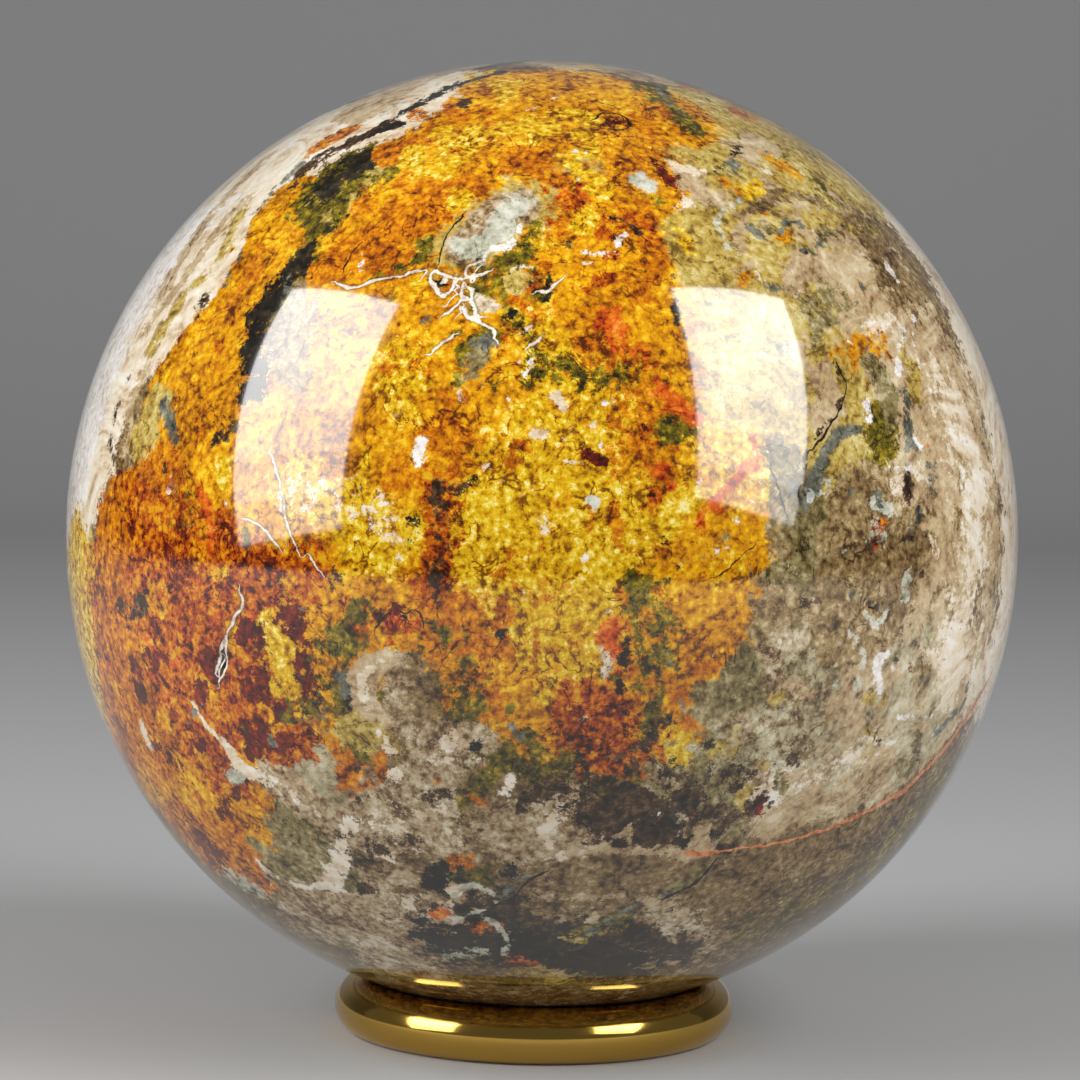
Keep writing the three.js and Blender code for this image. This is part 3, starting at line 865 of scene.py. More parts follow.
def lay_bottom_left():
    lay("chalk", "lower zone", 12, 4, (330, 910), (380, 930))
    lay("greygreen", "olive rim", 10, 4, (255, 905), (300, 945), (350, 965), strength=0.8)
    lay("pale", "grey rim spot", 4.0, 2.0, (240, 885), (255, 890), strength=0.7)
    lay("cream", "white patch", 2.6, 2.0, (340, 852), (346, 864), (330, 868), strength=0.6)
    lay("white", "white patch's top", 1.8, 0.9, (356, 824), (348, 838), (344, 852), strength=0.9)
    lay("chalk", "pale patch", 8.0, 3.0, (425, 820), (440, 835), strength=0.9)
    lay("cream", "pale patch's flecks", 7.0, 3.5, (425, 820), (440, 835), strength=0.4)
    lay("chalk", "pale middle", 6.0, 3.5, (390, 815), (380, 830), strength=0.8)
    lay("cream", "pale middle's flecks", 5.0, 3.0, (395, 812), (384, 826), strength=0.35)
    lay("cream", "low flecks", 5.0, 3.0, (385, 935), (400, 900), strength=0.3)
    lay("cream", "curve", 1.3, 0.5, (255, 862), (264, 872), (280, 879), (304, 884), (328, 880))
    lay("cream", "curve's thick end", 1.8, 1.0, (328, 880), (344, 866), (350, 846),
        (358, 826), strength=0.8)
    lay("chalk", "green rim line", 0.9, 0.6, (270, 906), (292, 922), (318, 938))
    lay("umber", "brown mottle", 5.0, 4.0, (370, 850), (360, 880), strength=0.5)
    lay("umber", "brown top", 3.0, 2.0, (392, 842), (410, 836), strength=0.6)
    lay("umber", "brown above", 3.0, 2.0, (430, 800), (450, 800), strength=0.7)
    lay("chalk", "pale triangle", 5.0, 1.8, (440, 748), (456, 758), (468, 748), strength=0.9)
    lay("cream", "triangle's flecks", 4.0, 1.8, (442, 748), (456, 756), (464, 748), strength=0.5)
    lay("white", "triangle's line", 0.9, 0.6, (430, 733), (442, 744), (454, 756), strength=0.9)
    lay("black", "olive line", 1.4, 0.8, (476, 748), (468, 775), (458, 800), (460, 822), strength=0.9)
    lay("olive", "olive beside it", 3.4, 1.8, (485, 770), (475, 800), (465, 830), strength=0.8)
    lay("orange", "orange-brown", 2.2, 1.2, (478, 802), (486, 806), strength=0.85)
    lay("chalk", "grey cream", 8.0, 3.5, (515, 832), (550, 830), (560, 850), strength=0.85)
    lay("cream", "cream by the edge", 3.0, 1.6, (555, 812), (545, 830), strength=0.8)
    lay("white", "cream edge's tip", 1.2, 0.8, (556, 806), (566, 804), strength=0.9)
    lay("cream", "pale under it", 2.0, 1.2, (558, 852), (566, 858), strength=0.9)
    lay("black", "black blob", 3.6, 1.4, (432, 880), (448, 870), (462, 862))
    lay("olive", "olive by the blob", 3.0, 1.6, (460, 880), (480, 868), strength=0.7)
    lay("orange", "brown orange", 2.4, 1.4, (455, 858), (475, 856), strength=0.7)


def lay_bottom():
    # The black across the bottom is partly the stone's own dark and partly painted shade on the
    # underside.
    lay("black", "dark bottom", 12, 5, (450, 940), (540, 950), (620, 965), strength=0.8)
    lay("taupe", "brown middle", 8, 3, (560, 890), (600, 880), (660, 875))
    lay("chalk", "pale middle", 4, 3, (560, 905), (545, 890), strength=0.7)
    lay("tan", "pink line", 1.4, 1.0, (570, 850), (620, 849), (690, 853), strength=0.9)
    lay("tan", "low line", 1.0, 0.8, (560, 899), (620, 898), (690, 903), strength=0.85)
    lay("ember", "orange-red spot", 1.5, 0.9, (432, 912), (440, 910), strength=0.9)
    lay("rust", "reddish spot", 2.4, 1.4, (520, 962), (526, 968), strength=0.7)
    lay("rust", "red by the hole", 2.0, 1.2, (478, 930), (496, 926), strength=0.6)
    lay("slate", "blue vein", 1.4, 0.6, (528, 876), (514, 880), (506, 892))
    lay("slate", "blue vein's foot", 1.1, 0.6, (500, 898), (488, 904), (478, 912))
    lay("slate", "blue tip", 0.7, 0.5, (542, 868), (528, 876))
    lay("pale", "hole's upper branch", 1.2, 0.5, (452, 894), (464, 886), (480, 884), (492, 892))
    lay("pale", "hole's near branch", 1.2, 0.5, (496, 900), (486, 908), (474, 912), (452, 920))
    lay("pale", "hole's lower branch", 1.2, 0.5, (490, 918), (502, 928), (508, 940), (506, 956))
    # The black hole is painted shade in the pit sunk at the bottom.
    lay("black", "hole", 1.3, 0.5, (475, 920))
    lay("pale", "grey tail", 3.0, 1.6, (450, 955), (480, 950), strength=0.5)
    lay("olive", "green streak", 3.0, 1.8, (580, 935), (600, 925), (620, 915), strength=0.8)
    lay("khaki", "yellow-green", 2.0, 1.4, (572, 938), (588, 934), strength=0.7)
    lay("slate", "teal streak", 2.6, 1.6, (592, 930), (620, 912), (634, 906), strength=0.7)
    lay("chalk", "cream patches", 3.6, 2.0, (660, 905), (670, 925), strength=0.9)
    lay("chalk", "cream patches on the right", 3.2, 2.0, (700, 915), (705, 935), strength=0.8)
    lay("khaki", "pale foot", 4.0, 2.0, (532, 976), (556, 980), strength=0.7)
    lay("chalk", "foot spot", 3.0, 2.0, (640, 965), (660, 960), strength=0.5)
    lay("greygreen", "fan", 2.6, 1.2, (704, 868), (690, 880), (672, 892))
    lay("slate", "fan's shade", 1.4, 0.8, (686, 884), (664, 898), strength=0.8)
    lay("tan", "pale patch", 2.6, 1.2, (700, 834), (704, 850))
    lay("black", "patch's left edge", 1.0, 0.7, (690, 838), (688, 848), strength=0.8)
    lay("black", "patch's right edge", 1.8, 1.0, (722, 822), (716, 840), strength=0.9)
    lay("umber", "round", 2.8, 1.2, (645, 826), (655, 832))
    lay("tan", "round's rim", 0.9, 0.6, (630, 838), (630, 824), (640, 816), strength=0.9)
    lay("white", "spot", 1.2, 0.6, (654, 813), (658, 811))
    lay("white", "spot below", 0.8, 0.5, (650, 840))
    lay("black", "olive streak", 2.2, 1.4, (664, 822), (680, 808), (698, 800), strength=0.9)
    lay("black", "dark green spot", 3.0, 2.0, (580, 765), (585, 785), strength=0.7)


def lay_lower_right():
    lay("taupe", "below the orange line", 14, 4, (760, 880), (860, 850), (950, 770))
    lay("umber", "dark under the line", 5, 3, (870, 845), (930, 790), (960, 755), strength=0.6)
    # The olive along the lower right rim is partly the stone's own and partly painted shade on the
    # underside.
    lay("olive", "dark rim", 10, 5, (760, 930), (850, 880), (930, 800), strength=0.6)
    lay("greygreen", "pale streak", 2.6, 1.8, (790, 895), (806, 870), strength=0.8)
    lay("tan", "pale band", 5.0, 2.0, (770, 825), (810, 800), (850, 785), (880, 765))
    lay("pale", "green-grey patch", 3.6, 2.0, (830, 690), (855, 685), strength=0.55)
    lay("tan", "khaki patch", 4.6, 2.0, (838, 720), (846, 742))
    lay("pale", "left patch", 2.8, 1.8, (785, 750), (776, 776), strength=0.6)
    lay("tan", "streaks", 3.0, 1.6, (800, 775), (830, 755), strength=0.8)
    lay("celadon", "pale mottle", 11.0, 6.0, (790, 735), (840, 755), (890, 730), strength=0.5)
    lay("cream", "pale mottle's light", 5.0, 5.0, (770, 790), (830, 775), (880, 745), strength=0.35)
    lay("taupe", "brown speckle", 7.0, 4.0, (810, 700), (800, 740), strength=0.35)
    lay("umber", "brown spots", 1.6, 1.2, (870, 735), (878, 748), strength=0.7)
    lay("umber", "brown spots on the left", 2.0, 1.4, (796, 756), (812, 752), strength=0.6)
    lay("maroon", "dark red spot", 1.8, 1.2, (762, 800), (758, 815), strength=0.8)
    lay("umber", "dark spot", 2.4, 1.4, (726, 826), (734, 818), strength=0.8)
    lay("slate", "violet patch", 3.0, 2.0, (745, 826), (752, 834), strength=0.5)
    lay("slate", "teal line", 1.6, 0.9, (965, 690), (961, 706), (948, 718), (936, 732))
    lay("cream", "pale flank", 5.0, 3.0, (955, 640), (950, 690), strength=0.6)
    lay("cream", "rim spot", 1.6, 0.9, (985, 664), (990, 662))
    lay("white", "left leg", 1.8, 0.7, (876, 656), (878, 690))
    lay("white", "leg's top", 1.4, 0.7, (886, 650), (892, 666))
    # The leg's dark heart is painted shade in the hollow sunk there.
    lay("olive", "leg's dark heart", 0.8, 0.5, (884, 662), (882, 680), strength=0.9)
    lay("white", "arch", 1.4, 0.7, (882, 652), (896, 644), (908, 642), (918, 645))
    lay("cream", "arch's right end", 1.6, 1.0, (920, 648), (932, 654), (946, 662), strength=0.9)
    lay("white", "spot under the leg", 0.9, 0.6, (877, 694), (878, 702), strength=0.9)
    lay("maroon", "arch's heart", 1.0, 0.7, (909, 664), (911, 668), strength=0.8)
    lay("white", "pale streak", 1.4, 0.9, (898, 720), (912, 716), (934, 716), strength=0.8)


def lay_right():
    lay("khaki", "gold-khaki", 7.0, 3.0, (840, 390), (850, 420), (830, 450))
    lay("tan", "pink patch", 4.4, 1.2, (828, 382), (834, 402), (824, 418))
    lay("umber", "crack", 0.7, 0.5, (838, 364), (846, 386), (842, 402), (838, 416), (824, 432))
    lay("umber", "crack's foot", 0.6, 0.5, (824, 432), (812, 448), (809, 470), strength=0.9)
    lay("slate", "blue-grey vein", 1.7, 0.6, (860, 424), (844, 436), (834, 452), (826, 470), (818, 484))
    lay("slate", "vein's foot", 2.4, 0.8, (818, 484), (812, 498), (806, 510))
    # The umber in the vein's pit is painted shade in the hollow sunk there.
    lay("umber", "vein's pit", 0.7, 0.4, (807, 493), (808, 498))
    lay("olive", "dark patch", 5.0, 2.0, (882, 420), (880, 445), strength=0.85)
    lay("greygreen", "grey finger", 3.0, 1.4, (872, 370), (884, 390), (888, 410))
    lay("white", "drop", 1.6, 0.6, (866, 402), (868, 418))
    lay("slate", "blue streak", 1.8, 1.0, (902, 392), (906, 416), (905, 445), strength=0.9)
    lay("slate", "teal shade", 2.4, 1.2, (905, 425), (912, 440), strength=0.7)
    lay("white", "beside the red spot", 1.1, 0.7, (912, 430), (919, 442))
    lay("ember", "red spot", 1.1, 0.7, (926, 441))
    lay("white", "white patch", 1.2, 0.8, (884, 461), (896, 468), (910, 470))
    lay("slate", "dark patch", 3.0, 1.8, (930, 470), (930, 485), strength=0.7)
    lay("umber", "brown edge", 2.2, 1.2, (906, 484), (905, 500), strength=0.8)
    lay("pale", "pale patch", 2.0, 1.4, (876, 510), (890, 512), strength=0.8)
    lay("slate", "blue patch", 3.0, 2.4, (916, 508), (914, 528), strength=0.6)
    lay("rust", "red-brown hook", 1.6, 0.9, (884, 528), (876, 540), (870, 552), strength=0.85)
    lay("pale", "green-white patch", 3.4, 2.8, (838, 540), (842, 555), strength=0.4)
    lay("greygreen", "dark green spots", 5.0, 3.0, (800, 535), (805, 560), strength=0.8)
    lay("black", "green shade", 2.0, 1.4, (800, 548), (812, 540), strength=0.6)
    lay("taupe", "brown patch", 5.0, 2.5, (868, 575), (886, 585), (892, 610), strength=0.8)
    lay("umber", "brown patch's shade", 3.0, 2.5, (872, 590), (888, 600), strength=0.5)
    # This black spot is painted shade in the hollow sunk under the brown patch.
    lay("black", "dark spot", 1.2, 0.8, (866, 603), (874, 606), strength=0.9)
    lay("pale", "teal-white spot", 2.0, 1.2, (904, 582), (903, 600))
    lay("pale", "moon", 1.4, 0.6, (862, 614), (870, 621), (880, 618), (887, 611))
    lay("pale", "streak below", 1.6, 0.8, (847, 636), (856, 648), (862, 660))
    lay("cream", "flank streaks", 2.2, 1.4, (958, 395), (970, 425), (978, 470), strength=0.9)
    lay("cream", "flank streaks below", 1.6, 1.4, (980, 470), (980, 520), (966, 575), strength=0.7)
    lay("cream", "rim", 16.0, 3.0, (1000, 420), (1014, 520), (1008, 620), (985, 690), strength=0.8)
    lay("cream", "flank", 3.0, 2.0, (940, 585), (955, 610), (945, 630), strength=0.3)
    lay("cream", "flank's light", 11.0, 5.0, (950, 400), (968, 470), (975, 560),
        (965, 640), strength=0.6)
    lay("taupe", "flank's brown", 4.0, 2.5, (985, 560), (975, 610), strength=0.45)
    lay("taupe", "flank's brown above", 3.0, 2.0, (960, 470), (955, 520), strength=0.45)
    lay("slate", "teal spot", 2.2, 1.4, (984, 424), (986, 440), strength=0.8)
    lay("cream", "round spot", 1.8, 0.8, (944, 388), (946, 394))
    lay("olive", "green-yellow", 4.0, 2.5, (810, 380), (812, 400), strength=0.4)


def lay_right_shoulder():
    lay("tan", "pink cream", 8.0, 4.0, (850, 265), (870, 310), strength=0.8)
    # The white along the right limb is partly pale stone and partly a painted highlight.
    lay("white", "limb", 5.0, 3.0, (884, 205), (926, 256), (962, 312), (990, 372), strength=0.8)
    lay("white", "left streak", 1.2, 1.2, (883, 256), (892, 274), (904, 296), strength=0.9)
    lay("white", "right streak", 1.4, 1.4, (926, 276), (935, 290), (944, 306), strength=0.9)
    lay("white", "thin streak", 1.2, 0.8, (913, 318), (915, 345), (918, 372), strength=0.9)
    lay("white", "flank streak", 1.4, 1.0, (928, 350), (936, 370), (944, 385), strength=0.8)
    lay("tan", "shade", 3.0, 2.0, (905, 270), (925, 300), (935, 330), strength=0.7)
    lay("cream", "outer flank", 12.0, 4.0, (975, 320), (1000, 390))
    lay("cream", "top of the fingers", 2.4, 1.4, (868, 334), (896, 330), strength=0.9)
    lay("white", "fingers' light", 1.0, 0.8, (866, 332), (880, 329), strength=0.8)
    lay("white", "left finger", 1.0, 0.8, (846, 338), (850, 356), strength=0.9)
    lay("white", "right finger", 1.5, 0.8, (905, 334), (900, 356), (896, 376))
    lay("gold", "yellow between", 4.0, 2.0, (845, 365), (862, 350), (880, 348), strength=0.75)
    lay("khaki", "yellow on the right", 4.0, 2.0, (910, 370), (915, 395), strength=0.8)
    lay("gold", "yellow on the left", 3.0, 2.0, (846, 375), (856, 390), strength=0.7)
    lay("slate", "grey under the fingers", 3.0, 1.4, (872, 362), (880, 380), strength=0.8)
    lay("ember", "pink dot", 0.9, 0.6, (894, 346), strength=0.7)


def lay_upper_right():
    lay("tan", "pink patch", 5.0, 2.0, (745, 150), (768, 145))
    lay("orange", "rim streak", 5.0, 2.0, (748, 116), (770, 126), (795, 141), strength=0.9)
    lay("khaki", "rim", 12.0, 3.0, (800, 145), (850, 185))
    lay("olive", "green under the rim", 6.0, 3.0, (790, 165), (812, 180), (830, 200), strength=0.5)
    lay("cream", "rim cream", 12.0, 3.0, (872, 190), (910, 235))
    lay("umber", "upper line", 1.2, 0.9, (668, 92), (688, 108), (708, 122), strength=0.8)
    lay("umber", "long line", 1.0, 1.0, (702, 96), (722, 118), (736, 134), (734, 152), strength=0.7)
    lay("umber", "line's foot", 1.0, 1.0, (734, 150), (724, 162), (715, 172), strength=0.7)
    lay("slate", "teal by the line", 1.6, 1.0, (732, 160), (728, 172), strength=0.8)
    lay("umber", "dark spot", 1.6, 1.0, (778, 144), strength=0.9)
    lay("yellow", "yellow spot", 3.0, 1.4, (745, 192), (758, 188), strength=0.95)
    lay("gold", "gold patch", 4.0, 2.4, (778, 165), (790, 170), strength=0.8)
    lay("orange", "orange spot", 1.6, 1.0, (732, 192), (738, 196), strength=0.8)
    lay("cream", "cream crumbs", 2.0, 1.2, (676, 166), (698, 170), strength=0.9)
    lay("cream", "cream crumbs below", 2.0, 1.2, (684, 206), (698, 212), strength=0.9)
    lay("tan", "left patch", 4.0, 2.0, (690, 185), (710, 195), strength=0.8)
    lay("maroon", "brown at the border", 2.4, 1.4, (668, 176), (674, 190), strength=0.7)
    lay("khaki", "yellow-green", 6.0, 2.5, (700, 235), (705, 262))
    lay("yellow", "yellow by the border", 3.6, 2.0, (682, 232), (690, 250), strength=0.7)
    lay("black", "border shade", 1.4, 1.0, (676, 275), (672, 310), (680, 330), strength=0.7)
    lay("taupe", "arc", 1.6, 1.0, (752, 206), (775, 198), (800, 196), (822, 203), strength=0.85)
    lay("taupe", "arc's end", 1.4, 1.0, (822, 203), (842, 216), (872, 230), strength=0.75)
    lay("umber", "arc's dark side", 0.7, 0.6, (756, 203), (778, 194), (802, 192),
        (826, 200), strength=0.7)
    lay("tan", "arc's pale side", 0.9, 0.6, (772, 200), (796, 202), (818, 210), strength=0.9)
    lay("olive", "olive end", 2.6, 1.4, (862, 222), (880, 228), strength=0.8)
    lay("slate", "grey-blue patch", 2.2, 1.2, (752, 228), (760, 234), strength=0.85)
    lay("slate", "violet arc", 1.0, 0.6, (776, 230), (786, 220), (796, 218), (800, 226), strength=0.85)
    lay("slate", "teal spot", 1.4, 0.8, (800, 246), (812, 250), strength=0.95)
    lay("slate", "grey-blue band", 2.4, 1.6, (812, 240), (832, 234), strength=0.6)
    lay("black", "teal heart", 0.9, 0.6, (806, 250), strength=0.8)
    lay("slate", "dark teal", 1.6, 0.9, (868, 290), (878, 296), strength=0.95)
    lay("slate", "dark teal's twin", 0.9, 0.6, (886, 284), (892, 292), strength=0.9)
    lay("greygreen", "grey-green patch", 4.0, 2.5, (835, 290), (845, 305), strength=0.7)
    lay("greygreen", "left grey-green", 4.0, 2.5, (800, 300), (815, 320), strength=0.6)
    lay("slate", "small teals", 1.0, 0.7, (770, 291), (776, 289), strength=0.8)
    lay("slate", "small teals above", 1.0, 0.7, (785, 268), (790, 272), strength=0.7)
    lay("olive", "dark speck", 1.0, 0.6, (820, 182), (824, 184), strength=0.9)
    lay("pale", "pale vein", 1.0, 0.6, (738, 200), (726, 212), (722, 226), (727, 240), (728, 254))
    lay("tan", "pale vein's side", 1.4, 1.0, (744, 215), (742, 250), strength=0.7)
    lay("cream", "crumbs by the light", 1.0, 0.7, (768, 300), (752, 265), strength=0.8)


# The far side, which the photograph doesn't show: the same minerals go on around the ball.

FarZone = namedtuple("FarZone", "mineral azimuth elevation spread count width fade")
FAR_SEED = 11
FAR_LIMIT = -0.05  # how far a far stroke may reach towards the camera, as a cosine
GRAIN_LIMIT = 0.08  # the same for a grain
FAR_STEP = 8  # degrees from one point of a far stroke to the next
GRAIN_STEP = 1.2  # the same for a grain
FAR_POINTS = 4
FAR_BEND = 0.9  # radians that a far stroke may turn at each point
FAR_WIDTHS = (0.6, 1.4)  # of a far stroke, as shares of its zone's
FAR_STRENGTH = 0.9
FAR_ZONES = [
    FarZone("tan", 110, 5, 40, 16, 13, 5),
    FarZone("chalk", 150, -35, 50, 16, 14, 5),
    FarZone("khaki", 140, 45, 50, 14, 12, 4),
    FarZone("greygreen", 165, 5, 45, 14, 10, 4),
    FarZone("gold", 210, 30, 45, 16, 13, 4),
    FarZone("gold", 180, 65, 60, 8, 11, 4),
    FarZone("orange", 235, -10, 40, 14, 9, 4),
    FarZone("rust", 240, -30, 35, 12, 7, 4),
    FarZone("umber", 190, -60, 70, 12, 8, 4),
    FarZone("cream", 255, 30, 25, 8, 8, 4),
    FarZone("yellow", 205, 15, 40, 12, 5, 3),
]
FAR_GRAINS = [
    FarZone("tan", 258, 30, 28, 40, 3.0, 2),
    FarZone("khaki", 256, 35, 30, 20, 2.0, 1.6),
    FarZone("taupe", 256, 25, 30, 24, 1.6, 1.2),
    FarZone("cream", 110, 5, 40, 30, 2.6, 1.5),
    FarZone("tan", 98, 10, 25, 44, 3.2, 2),
    FarZone("taupe", 98, 5, 30, 40, 2.6, 1.6),
    FarZone("khaki", 105, 25, 30, 30, 2.8, 1.6),
    FarZone("umber", 180, 75, 70, 30, 1.5, 1.0),
    FarZone("khaki", 180, 75, 70, 24, 2.6, 1.4),
    FarZone("cream", 180, 75, 70, 20, 1.4, 1.0),
    FarZone("rust", 200, 75, 60, 20, 1.8, 1.2),
    FarZone("umber", 170, -10, 90, 40, 1.6, 1.0),
    FarZone("olive", 190, 20, 70, 40, 2.4, 1.4),
    FarZone("rust", 220, 10, 50, 40, 2.0, 1.4),
    FarZone("maroon", 235, -25, 40, 30, 1.6, 1.0),
    FarZone("yellow", 215, 15, 50, 30, 1.6, 1.0),
    FarZone("chalk", 150, -20, 60, 40, 2.0, 1.2),
    FarZone("sand", 150, 10, 60, 40, 2.6, 1.4),
    FarZone("cream", 180, 0, 90, 30, 1.2, 0.8),
    FarZone("slate", 150, 0, 60, 24, 1.3, 0.8),
    FarZone("black", 190, -20, 80, 16, 1.2, 0.8),
]
FAR_VEINS = 12
FAR_VEIN_PLACE = (180, 0, 90)  # azimuth, elevation and spread
FAR_VEIN_WIDTH = 0.3
FAR_BEND_START = 0.05  # where the far side's bent borders begin, as a cosine from the camera
FAR_BEND_SPAN = 0.35
FAR_PUSHES = [(30.0, 10.0), (11.0, 4.0)]  # each noise's size and reach, in mm


def far_points(dice, azimuth, elevation, spread, step, limit):
    """A wandering line about a place on the far side, or nothing where it comes too near."""
    azimuth += dice.uniform(-spread, spread)
    elevation += dice.uniform(-spread, spread) / 2
    heading = dice.uniform(0, 2 * math.pi)
    points = []
    for _ in range(FAR_POINTS):
        points.append(direction(azimuth, elevation))
        heading += dice.uniform(-FAR_BEND, FAR_BEND)
        azimuth += step * math.cos(heading) / max(math.cos(math.radians(elevation)), 0.3)
        elevation += step * math.sin(heading)
    if max(point.dot(-CAMERA_FORWARD) for point in points) > limit:
        return []
    return points


def lay_far(zones, step, limit):
    dice = random.Random(FAR_SEED)
    for zone in zones:
        for _ in range(zone.count):
            points = far_points(dice, zone.azimuth, zone.elevation, zone.spread, step, limit)
            width = zone.width * dice.uniform(*FAR_WIDTHS)
            if points:
                strokes.append(Stroke(zone.mineral, points, width, zone.fade, FAR_STRENGTH))


def draw_far_veins():
    dice = random.Random(FAR_SEED)
    for number in range(FAR_VEINS):
        points = far_points(dice, *FAR_VEIN_PLACE, FAR_STEP, FAR_LIMIT)
        if points:
            veins.append(Vein("dark" if number % 3 else "white", points, FAR_VEIN_WIDTH))


def bend_far_side(points):
    """Pushes the points of the far side about, so that no zone keeps a plain round border."""
    beyond = points @ np.array(CAMERA_FORWARD) / np.linalg.norm(points, axis=1)
    share = smooth_step((beyond - FAR_BEND_START) / FAR_BEND_SPAN)[:, None]
    return points + share * (warped(points, FAR_PUSHES) - points)


# Fine lines, drawn crisply over the minerals: each with its width in millimetres.

Vein = namedtuple("Vein", "family points width")
veins = []


def draw(family, name, width, *pixels):
    """A fine line along pixels of the photograph, with a name for the reader too."""
    veins.append(Vein(family, [seen_at(pixel) for pixel in pixels], width))


def draw_white_veins():
    draw("white", "long vein", 0.38, (338, 284), (350, 287), (364, 285), (380, 280), (400, 276),
        (422, 271))
    draw("white", "triangle", 0.42, (428, 277), (435, 272), (443, 277), (455, 281), (449, 291),
        (443, 296))
    draw("white", "triangle's left side", 0.42, (443, 296), (435, 289), (429, 279))
    draw("white", "to the right", 0.42, (455, 281), (468, 280), (478, 276), (487, 272))
    draw("white", "upward spur", 0.38, (470, 280), (465, 274), (468, 267), (474, 264))
    draw("white", "ring", 0.38, (462, 283), (460, 293), (462, 298), (470, 297), (473, 291), (466, 289))
    draw("white", "loop", 0.38, (463, 300), (463, 308), (470, 317), (477, 317), (475, 307), (470, 300))
    draw("white", "tail", 0.38, (477, 318), (485, 326), (493, 331), (495, 337))
    draw("white", "spur to the left", 0.3, (460, 302), (452, 308), (445, 314))
    draw("white", "slit's cross line", 0.28, (541, 292), (551, 291), (556, 286), (561, 280))
    draw("white", "crescent's line", 0.32, (452, 336), (442, 342), (433, 350))
    draw("white", "thin line in the light", 0.25, (272, 455), (278, 480), (284, 505), (289, 528),
        (298, 550))
    draw("white", "under the light", 0.25, (246, 520), (258, 524), (268, 534), (278, 547))
    draw("white", "crack's left lip", 0.3, (240, 590), (243, 605), (234, 619), (226, 636),
        (218, 656), (216, 672))
    draw("white", "crack's right lip", 0.25, (228, 634), (226, 652), (226, 668), (220, 682))
    draw("white", "needle", 0.3, (311, 556), (319, 570))
    draw("white", "slant line", 0.35, (532, 345), (540, 338))


def draw_dark_veins():
    # The triangle's heart and the crack's hole are painted shade in the pits sunk there.
    draw("dark", "triangle's heart", 0.9, (434, 282), (441, 283))
    draw("dark", "crack's hole", 1.0, (222, 652), (221, 666))
    draw("dark", "ring left's outline", 0.2, (374, 630), (382, 617), (394, 610), (404, 614), (404, 626))
    draw("dark", "ring right's outline", 0.2, (402, 622), (410, 610), (418, 612), (424, 626))
    draw("dark", "oval's outline", 0.3, (595, 118), (604, 113), (620, 115), (630, 122),
        (622, 129), (608, 128))
    draw("dark", "crack by the lens", 0.25, (438, 262), (446, 236), (462, 216))
    draw("dark", "cracks in the shade", 0.3, (344, 268), (350, 256), (356, 248))
    draw("dark", "crack in the tongue", 0.15, (700, 580), (722, 574), (738, 560), (755, 545))
    draw("dark", "right thin crack", 0.3, (838, 364), (846, 386), (842, 402), (838, 416),
        (824, 434), (812, 450))
    draw("dark", "thin red crack", 0.3, (772, 470), (779, 490), (788, 516))
    draw("dark", "fan's edge", 0.5, (712, 864), (694, 884), (662, 899))
    draw("dark", "blue vein's edge", 0.3, (544, 872), (526, 882), (512, 896), (490, 908), (478, 916))


def draw_ember_veins():
    draw("ember", "line's start", 0.6, (689, 853), (703, 853), (716, 852))
    draw("ember", "line", 0.4, (716, 852), (745, 848), (775, 843), (800, 838))
    draw("ember", "line's middle", 0.6, (800, 838), (830, 828), (855, 817), (880, 805))
    draw("ember", "line's far end", 0.8, (880, 805), (905, 790), (925, 770), (945, 748), (962, 724))
    draw("ember", "line at the rim", 0.8, (962, 724), (978, 700), (990, 676))


LINE_FAMILIES = {
    "ember": [(176, 96, 48), (222, 138, 84), (236, 178, 132)],
    "dark": [(14, 10, 7), (30, 21, 13), (52, 36, 20)],
    "white": [(186, 164, 136), (228, 216, 200), (246, 240, 230)],
}
LINE_REACH = 2.0  # mm to each side of a fine line
VEIN_SHADE = (52, 34, 12)  # the dark edge of a white vein


def make_stone_map():
    lay_far(FAR_ZONES, FAR_STEP, FAR_LIMIT)
    lay_broad_zones()
    lay_left_rim()
    lay_seam()
    lay_top_rim()
    lay_crown()
    lay_swirls()
    lay_scattered()
    lay_lens()
    lay_middle()
    lay_red_vein()
    lay_lower_left()
    lay_lower_middle()
    lay_pink_crescent()
    lay_white_wedge()
    lay_bottom_left()
    lay_bottom()
    lay_right_shoulder()
    lay_upper_right()
    lay_right()
    lay_lower_right()
    lay_far(FAR_GRAINS, GRAIN_STEP, GRAIN_LIMIT)
    draw_far_veins()
    draw_white_veins()
    draw_dark_veins()
    draw_ember_veins()


# Pieces.

NOISE_SEED = 7
BALL_SUBDIVISIONS = 7
FINE_CAP = math.cos(math.radians(66))  # the part of the ball that is divided once more
MINERAL_PUSHES = [(12.0, 1.2), (4.0, 0.6)]  # each noise's size and reach, in mm
LINE_PUSHES = [(4.0, 0.3)]

Pit = namedtuple("Pit", "name pixel radius depth")
PITS = [
    Pit("crack's hole", (221, 660), 1.4, 0.5),
    Pit("notch on the left", (171, 490), 1.3, 0.4),
    Pit("triangle's heart", (438, 283), 1.3, 0.35),
    Pit("hole at the bottom", (475, 920), 1.5, 0.55),
    Pit("small pit", (355, 772), 1.3, 0.4),
    Pit("leg's hollow", (882, 672), 1.3, 0.35),
    Pit("hollow under the brown", (868, 606), 1.6, 0.4),
    Pit("vein's pit", (807, 495), 0.9, 0.15),
]


def sink_pits(shape):
    """Small hollows that the polish didn't reach."""
    for pit in PITS:
        middle = seen_at(pit.pixel) * BALL_RADIUS
        radius = pit.radius * MM
        for vertex in shape.verts:
            away = (vertex.co - middle).length
            if away < radius:
                vertex.co *= 1 - pit.depth * MM / BALL_RADIUS * smooth_step(1 - away / radius)


